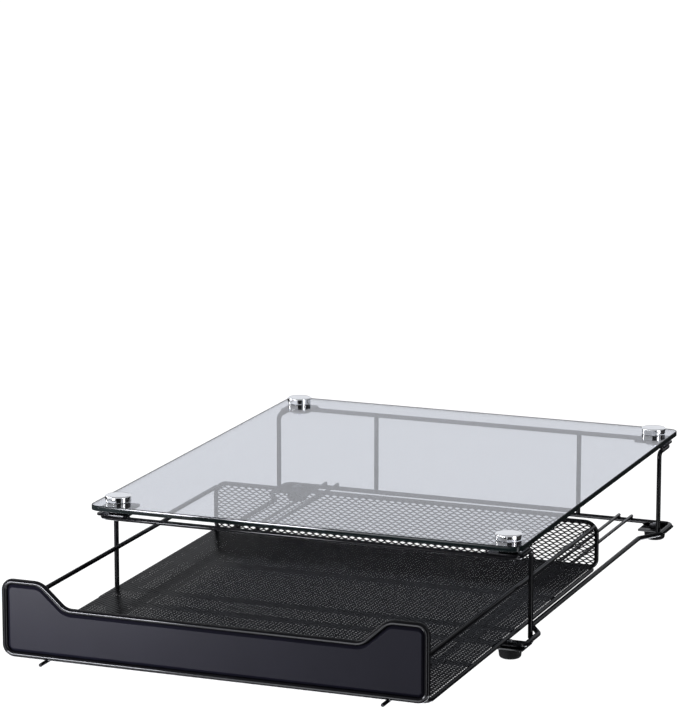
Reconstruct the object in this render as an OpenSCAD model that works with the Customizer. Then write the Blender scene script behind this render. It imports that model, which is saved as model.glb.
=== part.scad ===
// Coffee pod drawer: a bent-wire frame on rubber feet carries a clamped glass top,
// and a wire-edged mesh tray slides out from under the glass.
// Lengths are in millimetres. +Z is up, X runs along the front, and the tray opens towards -Y.

/* [Glass top] */
// Width of the glass
glass_w = 325; // [310:1:350]
// Depth of the glass
glass_d = 384; // [360:1:420]
// Thickness of the glass
glass_t = 4; // [3:0.5:8]
// Radius of the glass corners
glass_corner_r = 7.5; // [3:0.5:14]

/* [Glass clamps] */
// Distance from the plane of the posts inwards to each knob's axis
knob_inset_x = 10.4; // [9:0.1:14]
// Distance from the front or rear edge of the glass to each knob's axis
knob_inset_y = 19.2; // [16:0.1:24]
// Diameter of the knob caps
knob_d = 19; // [14:0.5:24]
// Height of the knob caps above the glass
knob_h = 4.8; // [3:0.1:8]
// Diameter of the knob studs
stud_d = 6; // [4:0.5:8]
// Radial clearance of the studs in the glass and in the plates
stud_gap = 0.5; // [0.2:0.1:1]
// Diameter of the rubber gaskets under the glass
gasket_d = 14; // [11:0.5:20]
// Thickness of the rubber gaskets
gasket_t = 3.3; // [1:0.1:6]
// Width of the clamp nuts across their flats
clamp_nut_af = 10; // [9:0.5:12]
// Height of the clamp nuts
clamp_nut_h = 3.2; // [2:0.1:5]

/* [Wire frame] */
// Diameter of the frame wire
wire_d = 3.5; // [3:0.1:5]
// Distance from a side edge of the glass inwards to the plane of the posts
frame_inset = 4.5; // [2:0.1:8]
// Clear height between the crossbars and the arches
bay_h = 59; // [50:1:90]
// Distance from the edge of the glass to the axis of each crossbar
crossbar_inset = 11.7; // [9:0.1:16]
// Distance from the edge of the glass to the axis of each arch's top run
arch_inset = 9.7; // [8:0.1:14]
// Distance from the edge of the glass to the axes of the posts
post_inset = 37.4; // [30:0.1:60]
// Distance from a post's axis to the end of the ear's straight side
ear_tail = 7.9; // [5:0.1:15]
// Distance along Y over which the base wire returns inwards behind an ear
ear_jog = 18; // [16:0.1:40]
// Distance from the plane of the posts inwards to the axis of the base's side wire
base_inset = 7.7; // [5:0.1:12]
// Bend radius of the base loop at the outer corners
base_corner_r = 6; // [4:0.5:10]
// Bend radius where the base wire turns in behind an ear
ear_bend_r = 7; // [3:0.5:10]
// Bend radius of the arches where the posts turn under the glass
post_bend_r = 4; // [2.5:0.5:8]
// Bend radius of the arches at the glass corners
arch_corner_r = 7; // [4:0.5:12]

/* [Plates] */
// Thickness of the welded plates
plate_t = 1.5; // [1:0.1:3]
// Width of the upper plates
upper_plate_w = 24; // [22:0.5:30]
// Depth of the upper plates
upper_plate_d = 26; // [24:0.5:32]
// Corner radius of the upper plates
upper_plate_r = 3; // [1:0.5:6]
// Width of the foot plates
foot_plate_w = 22.5; // [20:0.5:28]
// Depth of the foot plates
foot_plate_d = 22; // [18:0.5:28]
// Distance by which a foot plate stands out past the axis of the ear's side wire
foot_plate_lap = 0.5; // [0:0.1:1.7]
// Distance by which a foot plate stands out past the axis of the crossbar
foot_plate_front = 3.5; // [0:0.1:5]

/* [Feet] */
// Height of the rubber feet
foot_h = 7.7; // [6:0.1:20]
// Diameter of the feet where they meet the plates
foot_top_d = 17; // [14:0.5:20]
// Diameter of the feet near the bottom
foot_bottom_d = 15.6; // [13:0.1:17]
// Radius of the rounded lower edge of the feet
foot_edge_r = 2.2; // [0.5:0.1:3]
// Distance from a post's plane to the foot's axis, inwards along X
foot_inset_x = 8.2; // [6:0.1:12]
// Distance from the edge of the glass to the feet's axes
foot_inset_y = 18.3; // [16:0.1:22]
// Diameter of the foot screws
foot_screw_d = 4; // [3:0.5:5]
// Radial clearance of the foot screws in the feet and the plates
foot_screw_gap = 0.25; // [0.1:0.05:0.6]
// Diameter of the foot screws' heads
foot_head_d = 7.4; // [6:0.1:8]
// Height of the foot screws' heads
foot_head_h = 2.2; // [1.5:0.1:3]
// Distance from the bottom of a foot to the screw head inside it
foot_head_recess = 1; // [0.5:0.1:2]
// Width of the foot nuts across their flats
foot_nut_af = 7; // [6:0.5:8]
// Height of the foot nuts
foot_nut_h = 2.4; // [2:0.1:4]

/* [Guide rails] */
// Diameter of the guide rails
rail_d = 2.5; // [2:0.1:4]
// Distance from the plane of the posts inwards to the middle of each pair of rails
track_inset = 34.7; // [28:0.1:70]
// Distance between the axes of the two rails of a pair
rail_pitch = 10.2; // [8:0.1:16]
// Length of each rail past the axis of a crossbar
rail_overhang = 2.2; // [1:0.1:5]
// Distance from the plane of the posts inwards to each rear stop wire
stop_inset = 73.2; // [50:0.1:120]

/* [Tray] */
// Distance that the tray stands pulled out from its closed place
tray_pull = 163.2; // [0:0.1:185]
// Distance that the closed front panel stands behind the front edge of the glass
panel_setback = 6.5; // [0:0.1:10]
// Diameter of the wire around the front panel
rim_d = 4; // [3:0.1:5]
// Thickness of the front panel's sheet
panel_t = 0.8; // [0.5:0.1:1.5]
// Height of the front panel's lower edge above the crossbars
panel_lift = 3.6; // [3:0.1:5]
// Gap between the top of the front panel and the arches
panel_top_gap = 0.8; // [0.5:0.1:4]
// Gap between the tray's widest part and the posts on each side
tray_side_gap = 2.2; // [0.5:0.1:6]
// Bend radius of the front wire at its four outer corners
panel_corner_r = 6.5; // [3:0.5:12]
// Depth of the finger notch in the front panel
notch_h = 16.6; // [5:0.2:24]
// Distance from a side edge of the front panel to the notch
notch_inset = 29; // [22:0.5:60]
// Width over which each end of the notch slopes up
notch_slope = 18.5; // [15:0.5:28]
// Bend radius of the front wire at the ends of the notch
notch_r = 12; // [3:0.5:14]
// Diameter of the other tray wires
tray_wire_d = 3.2; // [2.5:0.1:4]
// Distance of the floor's side wires inside the edge of the front panel
floor_inset = 1; // [0:0.1:4]
// Bend radius of the floor's edge wire at its corners
floor_corner_r = 6; // [3:0.5:12]
// Thickness of the mesh sheets
mesh_t = 0.8; // [0.5:0.1:1.5]
// Number of diamond openings across the mesh sheets
mesh_columns = 10; // [6:1:12]
// Width of the webs between the diamond openings
mesh_web = 5; // [2:0.5:6]
// Height of the tray's back from the underside of its floor
back_h = 37; // [25:0.5:50]
// Bend radius of the back's edge wire at its upper corners
back_top_r = 9; // [4:0.5:14]
// Bend radius of the back's edge wire at its lower corners
back_low_r = 6; // [3:0.5:12]
// Diameter of the runners under the floor
runner_d = 2.5; // [2:0.1:4]
// Length of the runners in front of the front panel
runner_nose = 4.3; // [2:0.1:10]
// Length of the stop hooks below the axes of the runners
hook_h = 4.5; // [3.5:0.1:5.5]
// Bend radius of the stop hooks
hook_r = 2; // [1.5:0.1:2.5]
// Number of cross wires under the floor mesh
cross_count = 3; // [1:1:4]

/* [Clearances] */
// Gap between the sliding tray and what it slides over
slide_gap = 0.3; // [0.1:0.1:1]
// Gap between a stop and what it stops
stop_gap = 0.3; // [0.1:0.1:1]

/* [Hidden] */
$fn = 48;

// Thickness and length of the collar that closes a slanted bend's joint with a straight stretch of wire
collar_t = 0.03;
collar_h = 0.4;

wire_r = wire_d / 2;
rim_r = rim_d / 2;
tray_r = tray_wire_d / 2;

// Heights, from the surface that the feet stand on
base_z = foot_h + plate_t + wire_r;
crossbar_top = base_z + wire_r;
arch_z = crossbar_top + bay_h + wire_r;
arch_top = arch_z + wire_r;
plate_top = arch_top + plate_t;
glass_z = plate_top + gasket_t;
rail_z = crossbar_top + rail_d / 2;
runner_z = crossbar_top + slide_gap + runner_d / 2;
floor_z = crossbar_top + slide_gap + max(rail_d, runner_d) + tray_r;
mesh_z = floor_z + tray_r;

// Places along X, half of each width
post_x = glass_w / 2 - frame_inset;
ear_x = post_x + wire_d;
base_side_x = post_x - base_inset;
knob_x = post_x - knob_inset_x;
foot_x = post_x - foot_inset_x;
panel_x = post_x - wire_r - tray_side_gap;
rim_x = panel_x - rim_r;
back_x = panel_x - tray_r;
floor_x = panel_x - floor_inset - tray_r;
notch_x = panel_x - notch_inset;
track_x = post_x - track_inset;
stop_x = post_x - stop_inset;

// Places along Y, from the front edge of the glass
middle_y = glass_d / 2;
stop_y = glass_d - (crossbar_inset + arch_inset) / 2;
back_y = stop_y - wire_r - stop_gap - tray_r - tray_pull;
panel_y = panel_setback - tray_pull;
rim_y = panel_y + rim_r;
panel_low_z = crossbar_top + panel_lift;
rim_low_z = panel_low_z + rim_r;
rim_top_z = arch_z - wire_r - panel_top_gap - rim_r;
notch_z = rim_top_z - notch_h;
floor_front_y = rim_y + sqrt(pow(rim_r + tray_r, 2) - pow(rim_low_z - floor_z, 2));
floor_rear_y = back_y - tray_wire_d;
hook_y = floor_rear_y + hook_r;
nose_y = panel_y - runner_nose;

// The side rails butt on the upper corners of the back wire
back_top_z = floor_z - tray_r + back_h - tray_r;
side_rail_angle = 39;
side_rail_reach = back_top_r + tray_r / 2;
side_rail_x = back_x - back_top_r + side_rail_reach * cos(side_rail_angle);
side_rail_z = back_top_z - back_top_r + side_rail_reach * sin(side_rail_angle);
side_rail_front_y = rim_y + sqrt(pow(rim_r, 2) - pow(max(0, rim_x - side_rail_x - tray_r), 2));

// The origin lies under the middle of the whole part, with the tray as it stands
origin_y = (nose_y + glass_d) / 2;

// Width of a diamond opening along Y or Z, as a share of its length along X
diamond_ratio = 0.63;
// Plain border of the mesh sheets
mesh_border = 1.5;

// Diametral gap between a nut's bore and the shank in it
nut_bore_gap = 0.1;
// Length of straight wire before the first bend of a side wire
side_wire_lead = 1;
// Length of a shank past its nut
shank_tail = 1;

FRAME_COLOUR = [0.05, 0.05, 0.055];
SHEET_COLOUR = [0.12, 0.12, 0.13];
CHROME_COLOUR = [0.82, 0.83, 0.85];
RUBBER_COLOUR = [0.03, 0.03, 0.03];
GLASS_COLOUR = [0.72, 0.8, 0.82, 0.5];

// ---- Wire and outline helpers ----

function unit(v) = v / norm(v);

// Distance from a bend's corner point to where its arc starts
function bend_cut(a, p, b, r) =
    let(turn = acos(unit(p - a) * unit(b - p)))
    turn < 0.01 ? 0 : r * tan(turn / 2);

// Whether a bend isn't square, so that its ends are rounded off the grid
function slanted(a, p, b) = abs(unit(p - a) * unit(b - p)) > 0.001;

// Stands a child that points along +Z at p, so that its X axis is x and its Z axis is z
module orient(p, x, z) {
    y = cross(z, x);
    multmatrix([
        [x[0], y[0], z[0], p[0]],
        [x[1], y[1], z[1], p[1]],
        [x[2], y[2], z[2], p[2]],
        [0, 0, 0, 1]
    ]) children();
}

module straight_wire(a, b, d) {
    z = unit(b - a);
    side = abs(z[2]) < 0.9 ? [0, 0, 1] : [1, 0, 0];
    orient(a, unit(cross(side, z)), z) cylinder(d = d, h = norm(b - a));
}

// One bend of radius r at the corner p of a wire that comes from a and goes on to b
module wire_bend(a, p, b, r, d) {
    u = unit(p - a);
    v = unit(b - p);
    axis = unit(cross(u, v));
    outward = -cross(axis, u);
    start = p - u * bend_cut(a, p, b, r);
    end = p + v * bend_cut(a, p, b, r);
    orient(start - outward * r, outward, axis)
        rotate_extrude(angle = acos(u * v))
            translate([r, 0]) circle(d = d);
    // A short collar closes each end of a slanted bend
    if (slanted(a, p, b))
        for (joint = [[start, u], [end, v]])
            straight_wire(
                joint[0] - joint[1] * collar_h / 2,
                joint[0] + joint[1] * collar_h / 2,
                d + 2 * collar_t
            );
}

// A bent wire through the corner points, with one bend radius for each of them
module bent_wire(points, radii, d, closed = false) {
    n = len(points);
    union() {
        for (i = [0 : closed ? n - 1 : n - 2]) {
            a = points[i];
            b = points[(i + 1) % n];
            before = points[(i + n - 1) % n];
            after = points[(i + 2) % n];
            start_cut = closed || i > 0 ? bend_cut(before, a, b, radii[i]) : 0;
            end_cut = closed || i < n - 2 ? bend_cut(a, b, after, radii[(i + 1) % n]) : 0;
            start = a + unit(b - a) * start_cut;
            end = b - unit(b - a) * end_cut;
            // A stretch is drawn from an end that lies on the grid
            if ((closed || i > 0) && slanted(before, a, b)) straight_wire(end, start, d);
            else straight_wire(start, end, d);
        }
        for (i = [closed ? 0 : 1 : closed ? n - 1 : n - 2])
            wire_bend(points[(i + n - 1) % n], points[i], points[(i + 1) % n], radii[i], d);
    }
}

// Points of a closed 2-D outline, given anticlockwise, with each corner rounded to its radius
function rounded(points, radii, steps = 8) = [
    for (i = [0 : len(points) - 1])
        let(
            n = len(points),
            p = points[i],
            u = unit(p - points[(i + n - 1) % n]),
            v = unit(points[(i + 1) % n] - p),
            turn = acos(u * v),
            side = sign(u[0] * v[1] - u[1] * v[0]),
            start = p - u * radii[i] * tan(turn / 2),
            centre = start + side * radii[i] * [-u[1], u[0]]
        )
        for (k = [0 : steps])
            let(angle = side * turn * k / steps, arm = start - centre)
            centre + [
                arm[0] * cos(angle) - arm[1] * sin(angle),
                arm[0] * sin(angle) + arm[1] * cos(angle)
            ]
];

// A closed 2-D outline, given anticlockwise, moved inwards by d
function inset(points, d) = [
    for (i = [0 : len(points) - 1])
        let(
            n = len(points),
            u = unit(points[i] - points[(i + n - 1) % n]),
            v = unit(points[(i + 1) % n] - points[i]),
            nu = [-u[1], u[0]],
            nv = [-v[1], v[0]]
        )
        points[i] + d * (nu + nv) / (1 + nu * nv)
];

module rounded_rectangle(w, d, r) {
    square([w - 2 * r, d], center = true);
    square([w, d - 2 * r], center = true);
    for (x = [-1, 1], y = [-1, 1])
        translate([x * (w / 2 - r), y * (d / 2 - r)]) circle(r = r);
}

// Diamond openings in staggered rows, which fill a w by d rectangle about the origin
module diamonds(w, d) {
    pitch_x = w / mesh_columns;
    rows = max(1, round(d / (pitch_x * diamond_ratio)));
    pitch_y = d / rows;
    // The diamonds would touch at full size, so each is drawn smaller by half a web all round
    side_distance = pitch_x * pitch_y / (2 * norm([pitch_x, pitch_y]));
    share = 1 - mesh_web / 2 / side_distance;
    for (row = [1 : 2 * rows - 1])
        let(columns = mesh_columns - 1 + row % 2)
            for (i = [0 : columns - 1])
                translate([(i - (columns - 1) / 2) * pitch_x, row * pitch_y / 2 - d / 2])
                    polygon([
                        [-share * pitch_x / 2, 0], [0, -share * pitch_y / 2],
                        [share * pitch_x / 2, 0], [0, share * pitch_y / 2]
                    ]);
}

// Moves a piece drawn from the glass's front edge to the part's own origin
module in_place() {
    translate([0, -origin_y, 0]) children();
}

// Mirrors a front right piece to the corner with the signs sx and sy
module at_corner(sx, sy) {
    translate([0, middle_y, 0])
        mirror([sx < 0 ? 1 : 0, 0, 0]) mirror([0, sy > 0 ? 1 : 0, 0])
            translate([0, -middle_y, 0]) children();
}

// ---- Glass top and its clamps ----

module glass_top() {
    color(GLASS_COLOUR) in_place()
        difference() {
            translate([0, middle_y, glass_z])
                linear_extrude(glass_t) rounded_rectangle(glass_w, glass_d, glass_corner_r);
            for (sx = [-1, 1], sy = [-1, 1])
                at_corner(sx, sy) translate([knob_x, knob_inset_y, glass_z - 1])
                    cylinder(r = stud_d / 2 + stud_gap, h = glass_t + 2);
        }
}

module knob(sx, sy) {
    stud_end = arch_top - clamp_nut_h - shank_tail;
    stud_r = stud_d / 2;
    stud_chamfer = 0.5;
    cap_r = knob_d / 2;
    cap_z = glass_z + glass_t;
    cap_edge = 1;
    edge_steps = 6;
    dome = 0.5;
    color(CHROME_COLOUR) in_place() at_corner(sx, sy)
        translate([knob_x, knob_inset_y, 0])
            rotate_extrude() polygon([
                [0, stud_end],
                [stud_r - stud_chamfer, stud_end],
                [stud_r, stud_end + stud_chamfer],
                [stud_r, cap_z],
                [cap_r, cap_z],
                for (k = [0 : edge_steps])
                    let(a = 90 * k / edge_steps)
                    [
                        cap_r - cap_edge + cap_edge * cos(a),
                        cap_z + knob_h - dome - cap_edge + cap_edge * sin(a)
                    ],
                [cap_r / 2, cap_z + knob_h - dome / 4],
                [0, cap_z + knob_h]
            ]);
}

module gasket(sx, sy) {
    color(RUBBER_COLOUR) in_place() at_corner(sx, sy)
        translate([knob_x, knob_inset_y, plate_top])
            difference() {
                cylinder(d = gasket_d, h = gasket_t);
                translate([0, 0, -1]) cylinder(r = stud_d / 2 + stud_gap, h = gasket_t + 2);
            }
}

module hex_nut(af, h, bore) {
    difference() {
        cylinder(d = af / cos(30), h = h, $fn = 6);
        translate([0, 0, -1]) cylinder(d = bore, h = h + 2);
    }
}

module clamp_nuts() {
    color(CHROME_COLOUR) in_place()
        for (sx = [-1, 1], sy = [-1, 1])
            at_corner(sx, sy) translate([knob_x, knob_inset_y, arch_top - clamp_nut_h])
                hex_nut(clamp_nut_af, clamp_nut_h, stud_d + nut_bore_gap);
}

module upper_plate(sx, sy) {
    color(FRAME_COLOUR) in_place() at_corner(sx, sy)
        translate([knob_x, knob_inset_y, arch_top])
            difference() {
                linear_extrude(plate_t) rounded_rectangle(upper_plate_w, upper_plate_d, upper_plate_r);
                translate([0, 0, -1]) cylinder(r = stud_d / 2 + stud_gap, h = plate_t + 2);
            }
}

// ---- Wire frame ----

// Two posts joined under the glass by one bent wire
module arch(sy) {
    foot_z = base_z - wire_r;
    half = [
        [post_x, post_inset, foot_z],
        [post_x, post_inset, arch_z],
        [post_x, arch_inset, arch_z]
    ];
    other = [for (i = [2 : -1 : 0]) [-half[i][0], half[i][1], half[i][2]]];
    color(FRAME_COLOUR) in_place() at_corner(1, sy)
        bent_wire(
            concat(half, other),
            [0, post_bend_r, arch_corner_r, arch_corner_r, post_bend_r, 0],
            wire_d
        );
}

module front_arch() { arch(-1); }
module rear_arch() { arch(1); }

// A straight crossbar of the base, between the corner bends of the two side wires
module base_crossbar(sy) {
    end_x = ear_x - base_corner_r - side_wire_lead;
    color(FRAME_COLOUR) in_place() at_corner(1, sy)
        straight_wire([-end_x, crossbar_inset, base_z], [end_x, crossbar_inset, base_z], wire_d);
}

// A side wire of the base, with a corner bend and an ear round a foot at each end
module base_side(sx) {
    ear_end = post_inset + ear_tail;
    half = [
        [ear_x - base_corner_r - side_wire_lead, crossbar_inset, base_z],
        [ear_x, crossbar_inset, base_z],
        [ear_x, ear_end, base_z],
        [base_side_x, ear_end + ear_jog, base_z]
    ];
    other = [for (i = [3 : -1 : 0]) [half[i][0], glass_d - half[i][1], half[i][2]]];
    color(FRAME_COLOUR) in_place() at_corner(sx, -1)
        bent_wire(
            concat(half, other),
            [0, base_corner_r, ear_bend_r, ear_bend_r, ear_bend_r, ear_bend_r, base_corner_r, 0],
            wire_d
        );
}

module foot_plate(sx, sy) {
    color(FRAME_COLOUR) in_place() at_corner(sx, sy)
        difference() {
            translate([
                ear_x + foot_plate_lap - foot_plate_w,
                crossbar_inset - foot_plate_front,
                foot_h
            ]) cube([foot_plate_w, foot_plate_d, plate_t]);
            translate([foot_x, foot_inset_y, foot_h - 1])
                cylinder(r = foot_screw_d / 2 + foot_screw_gap, h = plate_t + 2);
        }
}

module foot(sx, sy) {
    hole_r = foot_screw_d / 2 + foot_screw_gap;
    head_gap = 0.5;
    recess_r = foot_head_d / 2 + head_gap;
    recess_h = foot_head_recess + foot_head_h;
    edge_steps = 6;
    color(RUBBER_COLOUR) in_place() at_corner(sx, sy)
        translate([foot_x, foot_inset_y, 0])
            rotate_extrude() polygon([
                [recess_r, 0],
                for (k = [0 : edge_steps])
                    let(a = 90 * k / edge_steps)
                    [
                        foot_bottom_d / 2 - foot_edge_r + foot_edge_r * sin(a),
                        foot_edge_r - foot_edge_r * cos(a)
                    ],
                [foot_top_d / 2, foot_h],
                [hole_r, foot_h],
                [hole_r, recess_h],
                [recess_r, recess_h]
            ]);
}

module foot_screws() {
    screw_h = foot_h + plate_t + foot_nut_h + shank_tail - foot_head_recess;
    color(CHROME_COLOUR) in_place()
        for (sx = [-1, 1], sy = [-1, 1])
            at_corner(sx, sy) translate([foot_x, foot_inset_y, foot_head_recess])
                union() {
                    cylinder(d = foot_head_d, h = foot_head_h);
                    cylinder(d = foot_screw_d, h = screw_h);
                }
}

module foot_nuts() {
    color(CHROME_COLOUR) in_place()
        for (sx = [-1, 1], sy = [-1, 1])
            at_corner(sx, sy) translate([foot_x, foot_inset_y, foot_h + plate_t])
                hex_nut(foot_nut_af, foot_nut_h, foot_screw_d + nut_bore_gap);
}

module guide_rail(x) {
    color(FRAME_COLOUR) in_place()
        straight_wire(
            [x, crossbar_inset - rail_overhang, rail_z],
            [x, glass_d - crossbar_inset + rail_overhang, rail_z],
            rail_d
        );
}

module stop_wire(sx) {
    color(FRAME_COLOUR) in_place()
        straight_wire([sx * stop_x, stop_y, crossbar_top], [sx * stop_x, stop_y, arch_z - wire_r], wire_d);
}

// ---- Tray ----

// Axis of the front wire as a flat outline, anticlockwise, and its bend radii
panel_outline = [
    [-rim_x, rim_low_z],
    [rim_x, rim_low_z],
    [rim_x, rim_top_z],
    [notch_x, rim_top_z],
    [notch_x - notch_slope, notch_z],
    [-notch_x + notch_slope, notch_z],
    [-notch_x, rim_top_z],
    [-rim_x, rim_top_z]
];
panel_radii = [
    panel_corner_r, panel_corner_r, panel_corner_r,
    notch_r, notch_r, notch_r, notch_r,
    panel_corner_r
];
// The notch's two lower bends turn the other way, so the sheet inside the wire follows them outside
sheet_radii = [
    for (i = [0 : 7]) i == 4 || i == 5 ? panel_radii[i] + rim_r : panel_radii[i] - rim_r
];

module front_rim() {
    color(FRAME_COLOUR) in_place()
        bent_wire([for (p = panel_outline) [p[0], rim_y, p[1]]], panel_radii, rim_d, closed = true);
}

module front_panel() {
    color(SHEET_COLOUR) in_place()
        translate([0, rim_y + panel_t / 2, 0]) rotate([90, 0, 0])
            linear_extrude(panel_t) polygon(rounded(inset(panel_outline, rim_r), sheet_radii));
}

module floor_loop() {
    corners = [
        [-floor_x, floor_front_y, floor_z], [floor_x, floor_front_y, floor_z],
        [floor_x, floor_rear_y, floor_z], [-floor_x, floor_rear_y, floor_z]
    ];
    color(FRAME_COLOUR) in_place()
        bent_wire(corners, [for (c = corners) floor_corner_r], tray_wire_d, closed = true);
}

module floor_cross_wires() {
    step = (floor_rear_y - floor_front_y) / (cross_count + 1);
    end_x = floor_x - tray_r;
    color(FRAME_COLOUR) in_place()
        for (i = [1 : cross_count])
            straight_wire(
                [-end_x, floor_front_y + i * step, floor_z],
                [end_x, floor_front_y + i * step, floor_z],
                tray_wire_d
            );
}

module floor_mesh() {
    front = rim_y + rim_r;
    rear = back_y - tray_r;
    color(SHEET_COLOUR) in_place()
        translate([0, (front + rear) / 2, mesh_z])
            linear_extrude(mesh_t)
                difference() {
                    square([2 * floor_x, rear - front], center = true);
                    diamonds(2 * (floor_x - mesh_border), rear - front - 2 * mesh_border);
                }
}

module back_rim() {
    corners = [
        [-back_x, back_y, floor_z], [back_x, back_y, floor_z],
        [back_x, back_y, back_top_z], [-back_x, back_y, back_top_z]
    ];
    color(FRAME_COLOUR) in_place()
        bent_wire(corners, [back_low_r, back_low_r, back_top_r, back_top_r], tray_wire_d, closed = true);
}

module back_mesh() {
    outline = [
        [-back_x, floor_z], [back_x, floor_z], [back_x, back_top_z], [-back_x, back_top_z]
    ];
    radii = [back_low_r - tray_r, back_low_r - tray_r, back_top_r - tray_r, back_top_r - tray_r];
    color(SHEET_COLOUR) in_place()
        translate([0, back_y + mesh_t / 2, 0]) rotate([90, 0, 0])
            linear_extrude(mesh_t)
                difference() {
                    polygon(rounded(inset(outline, tray_r), radii));
                    translate([0, (floor_z + back_top_z) / 2])
                        diamonds(
                            2 * (back_x - tray_r - mesh_border),
                            back_top_z - floor_z - 2 * (tray_r + mesh_border)
                        );
                }
}

module side_rail(sx) {
    color(FRAME_COLOUR) in_place()
        straight_wire(
            [sx * side_rail_x, side_rail_front_y, side_rail_z],
            [sx * side_rail_x, back_y - tray_r, side_rail_z],
            tray_wire_d
        );
}

// Runs between two guide rails, and its hooked rear end catches the front crossbar
module runner(sx) {
    color(FRAME_COLOUR) in_place()
        bent_wire(
            [
                [sx * track_x, nose_y, runner_z],
                [sx * track_x, hook_y, runner_z],
                [sx * track_x, hook_y, runner_z - hook_h]
            ],
            [0, hook_r, 0],
            runner_d
        );
}

glass_top();
front_arch();
rear_arch();
base_crossbar(-1);  // base_crossbar_front
base_crossbar(1);  // base_crossbar_rear
base_side(-1);  // base_side_left
base_side(1);  // base_side_right
upper_plate(-1, -1);  // upper_plate_front_left
upper_plate(1, -1);  // upper_plate_front_right
upper_plate(-1, 1);  // upper_plate_rear_left
upper_plate(1, 1);  // upper_plate_rear_right
foot_plate(-1, -1);  // foot_plate_front_left
foot_plate(1, -1);  // foot_plate_front_right
foot_plate(-1, 1);  // foot_plate_rear_left
foot_plate(1, 1);  // foot_plate_rear_right
foot(-1, -1);  // foot_front_left
foot(1, -1);  // foot_front_right
foot(-1, 1);  // foot_rear_left
foot(1, 1);  // foot_rear_right
knob(-1, -1);  // knob_front_left
knob(1, -1);  // knob_front_right
knob(-1, 1);  // knob_rear_left
knob(1, 1);  // knob_rear_right
gasket(-1, -1);  // gasket_front_left
gasket(1, -1);  // gasket_front_right
gasket(-1, 1);  // gasket_rear_left
gasket(1, 1);  // gasket_rear_right
clamp_nuts();
foot_screws();
foot_nuts();
guide_rail(-track_x - rail_pitch / 2);  // guide_rail_left_outer
guide_rail(-track_x + rail_pitch / 2);  // guide_rail_left_inner
guide_rail(track_x - rail_pitch / 2);  // guide_rail_right_inner
guide_rail(track_x + rail_pitch / 2);  // guide_rail_right_outer
stop_wire(-1);  // stop_wire_left
stop_wire(1);  // stop_wire_right
front_panel();
front_rim();
floor_loop();
floor_mesh();
floor_cross_wires();
side_rail(-1);  // side_rail_left
side_rail(1);  // side_rail_right
back_rim();
back_mesh();
runner(-1);  // runner_left
runner(1);  // runner_right
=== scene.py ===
"""Coffee pod drawer: a bent-wire stand with a clamped glass top and a mesh tray that slides out."""

import math
from types import SimpleNamespace

import bmesh
import bpy
from bpy.props import FloatProperty, FloatVectorProperty, IntProperty, PointerProperty
from mathutils import Matrix, Vector


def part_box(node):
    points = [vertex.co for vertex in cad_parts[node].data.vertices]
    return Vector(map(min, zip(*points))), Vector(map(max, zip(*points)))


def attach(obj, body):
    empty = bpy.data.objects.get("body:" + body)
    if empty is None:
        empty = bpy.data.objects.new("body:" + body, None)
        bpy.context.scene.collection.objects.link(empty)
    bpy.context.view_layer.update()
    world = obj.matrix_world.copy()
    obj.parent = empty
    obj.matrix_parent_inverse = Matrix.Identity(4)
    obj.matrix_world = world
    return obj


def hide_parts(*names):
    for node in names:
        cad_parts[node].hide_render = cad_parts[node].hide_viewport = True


bl_info = {
    "name": "Coffee Pod Drawer",
    "version": (1, 0, 0),
    "blender": (4, 5, 0),
    "location": "View3D > Sidebar > Pod Drawer",
    "description": "Builds a bent-wire pod drawer with a glass top around its packed solids",
    "category": "Object",
}

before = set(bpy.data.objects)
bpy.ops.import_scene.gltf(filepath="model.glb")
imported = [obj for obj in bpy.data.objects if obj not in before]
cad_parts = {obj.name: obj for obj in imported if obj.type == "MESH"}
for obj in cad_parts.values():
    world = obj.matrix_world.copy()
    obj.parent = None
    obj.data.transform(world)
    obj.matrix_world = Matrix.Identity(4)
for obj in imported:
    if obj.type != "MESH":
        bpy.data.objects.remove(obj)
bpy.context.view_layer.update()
BOX = {node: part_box(node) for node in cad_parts}

MM = 0.001
COLLAR = 0.03 * MM  # the collars on the solids' slanted bends stand this far proud
SAME_PLACE = 0.001 * MM  # vertices closer than this are joined
CORNERS = ("front_left", "front_right", "rear_left", "rear_right")

# A knob: distance of the rings that support the edges of its side wall, degrees of its rounded upper
# edge, share of the dome's rise that is lost where it meets that edge, and number of rings in the dome
KNOB_RING, KNOB_ARC, KNOB_FALL, DOME_RINGS = 0.1 * MM, 78, 0.9, 8

# A thread's turn, as shares of its pitch: where its valley ends, and where its crest starts and ends
VALLEY_END, CREST_START, CREST_END = 0.1, 0.45, 0.65

# Radius of a nut's flat crown as a share of half its width, and the slope of the cone beside it
NUT_CROWN, NUT_SLOPE = 0.955, math.radians(28)

LEVEL = 0.99  # least Z of the normal of a face that lies level
NOTCH_FLOOR = (3, 4)  # the front outline's two corners in the notch, which bend the other way
SHEET_STEPS = 9  # rings across the front sheet's border
STRAND_REACH = 1.09  # length of a strand as a share of its cell's diagonal, so that strands meet
SAME_COUNT = 0.01  # share of a diamond by which a whole number of them may be off

# Angles, in degrees, past which an edge shades sharp
WIRE_CREASE, TURNED_CREASE, PLATE_CREASE, SHEET_CREASE = 38, 32, 35, 50

# Seeds of the random stretches of the weld nuggets and of the random turns of the corner parts
WELD_SEED, CORNER_SEED = 7, 3

# Least and most stretch of a weld nugget, first along its seam
WELD_LEAST, WELD_MOST = (1.3, 0.75, 0.75), (1.75, 0.95, 0.95)

# The camera, whose lens and sensor are in millimetres, and half the width of the floor
CAMERA_PLACE, CAMERA_AIM = (0.9404, -2.4295, 0.7330), (0, -0.03483, 0.191887)
CAMERA_AZIMUTH = 68.8  # degrees clockwise from +X to the camera, seen from above
LENS, SENSOR = 188.44, 36
NEAREST, FARTHEST = 0.05, 200
FLOOR_REACH = 40.0

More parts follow.
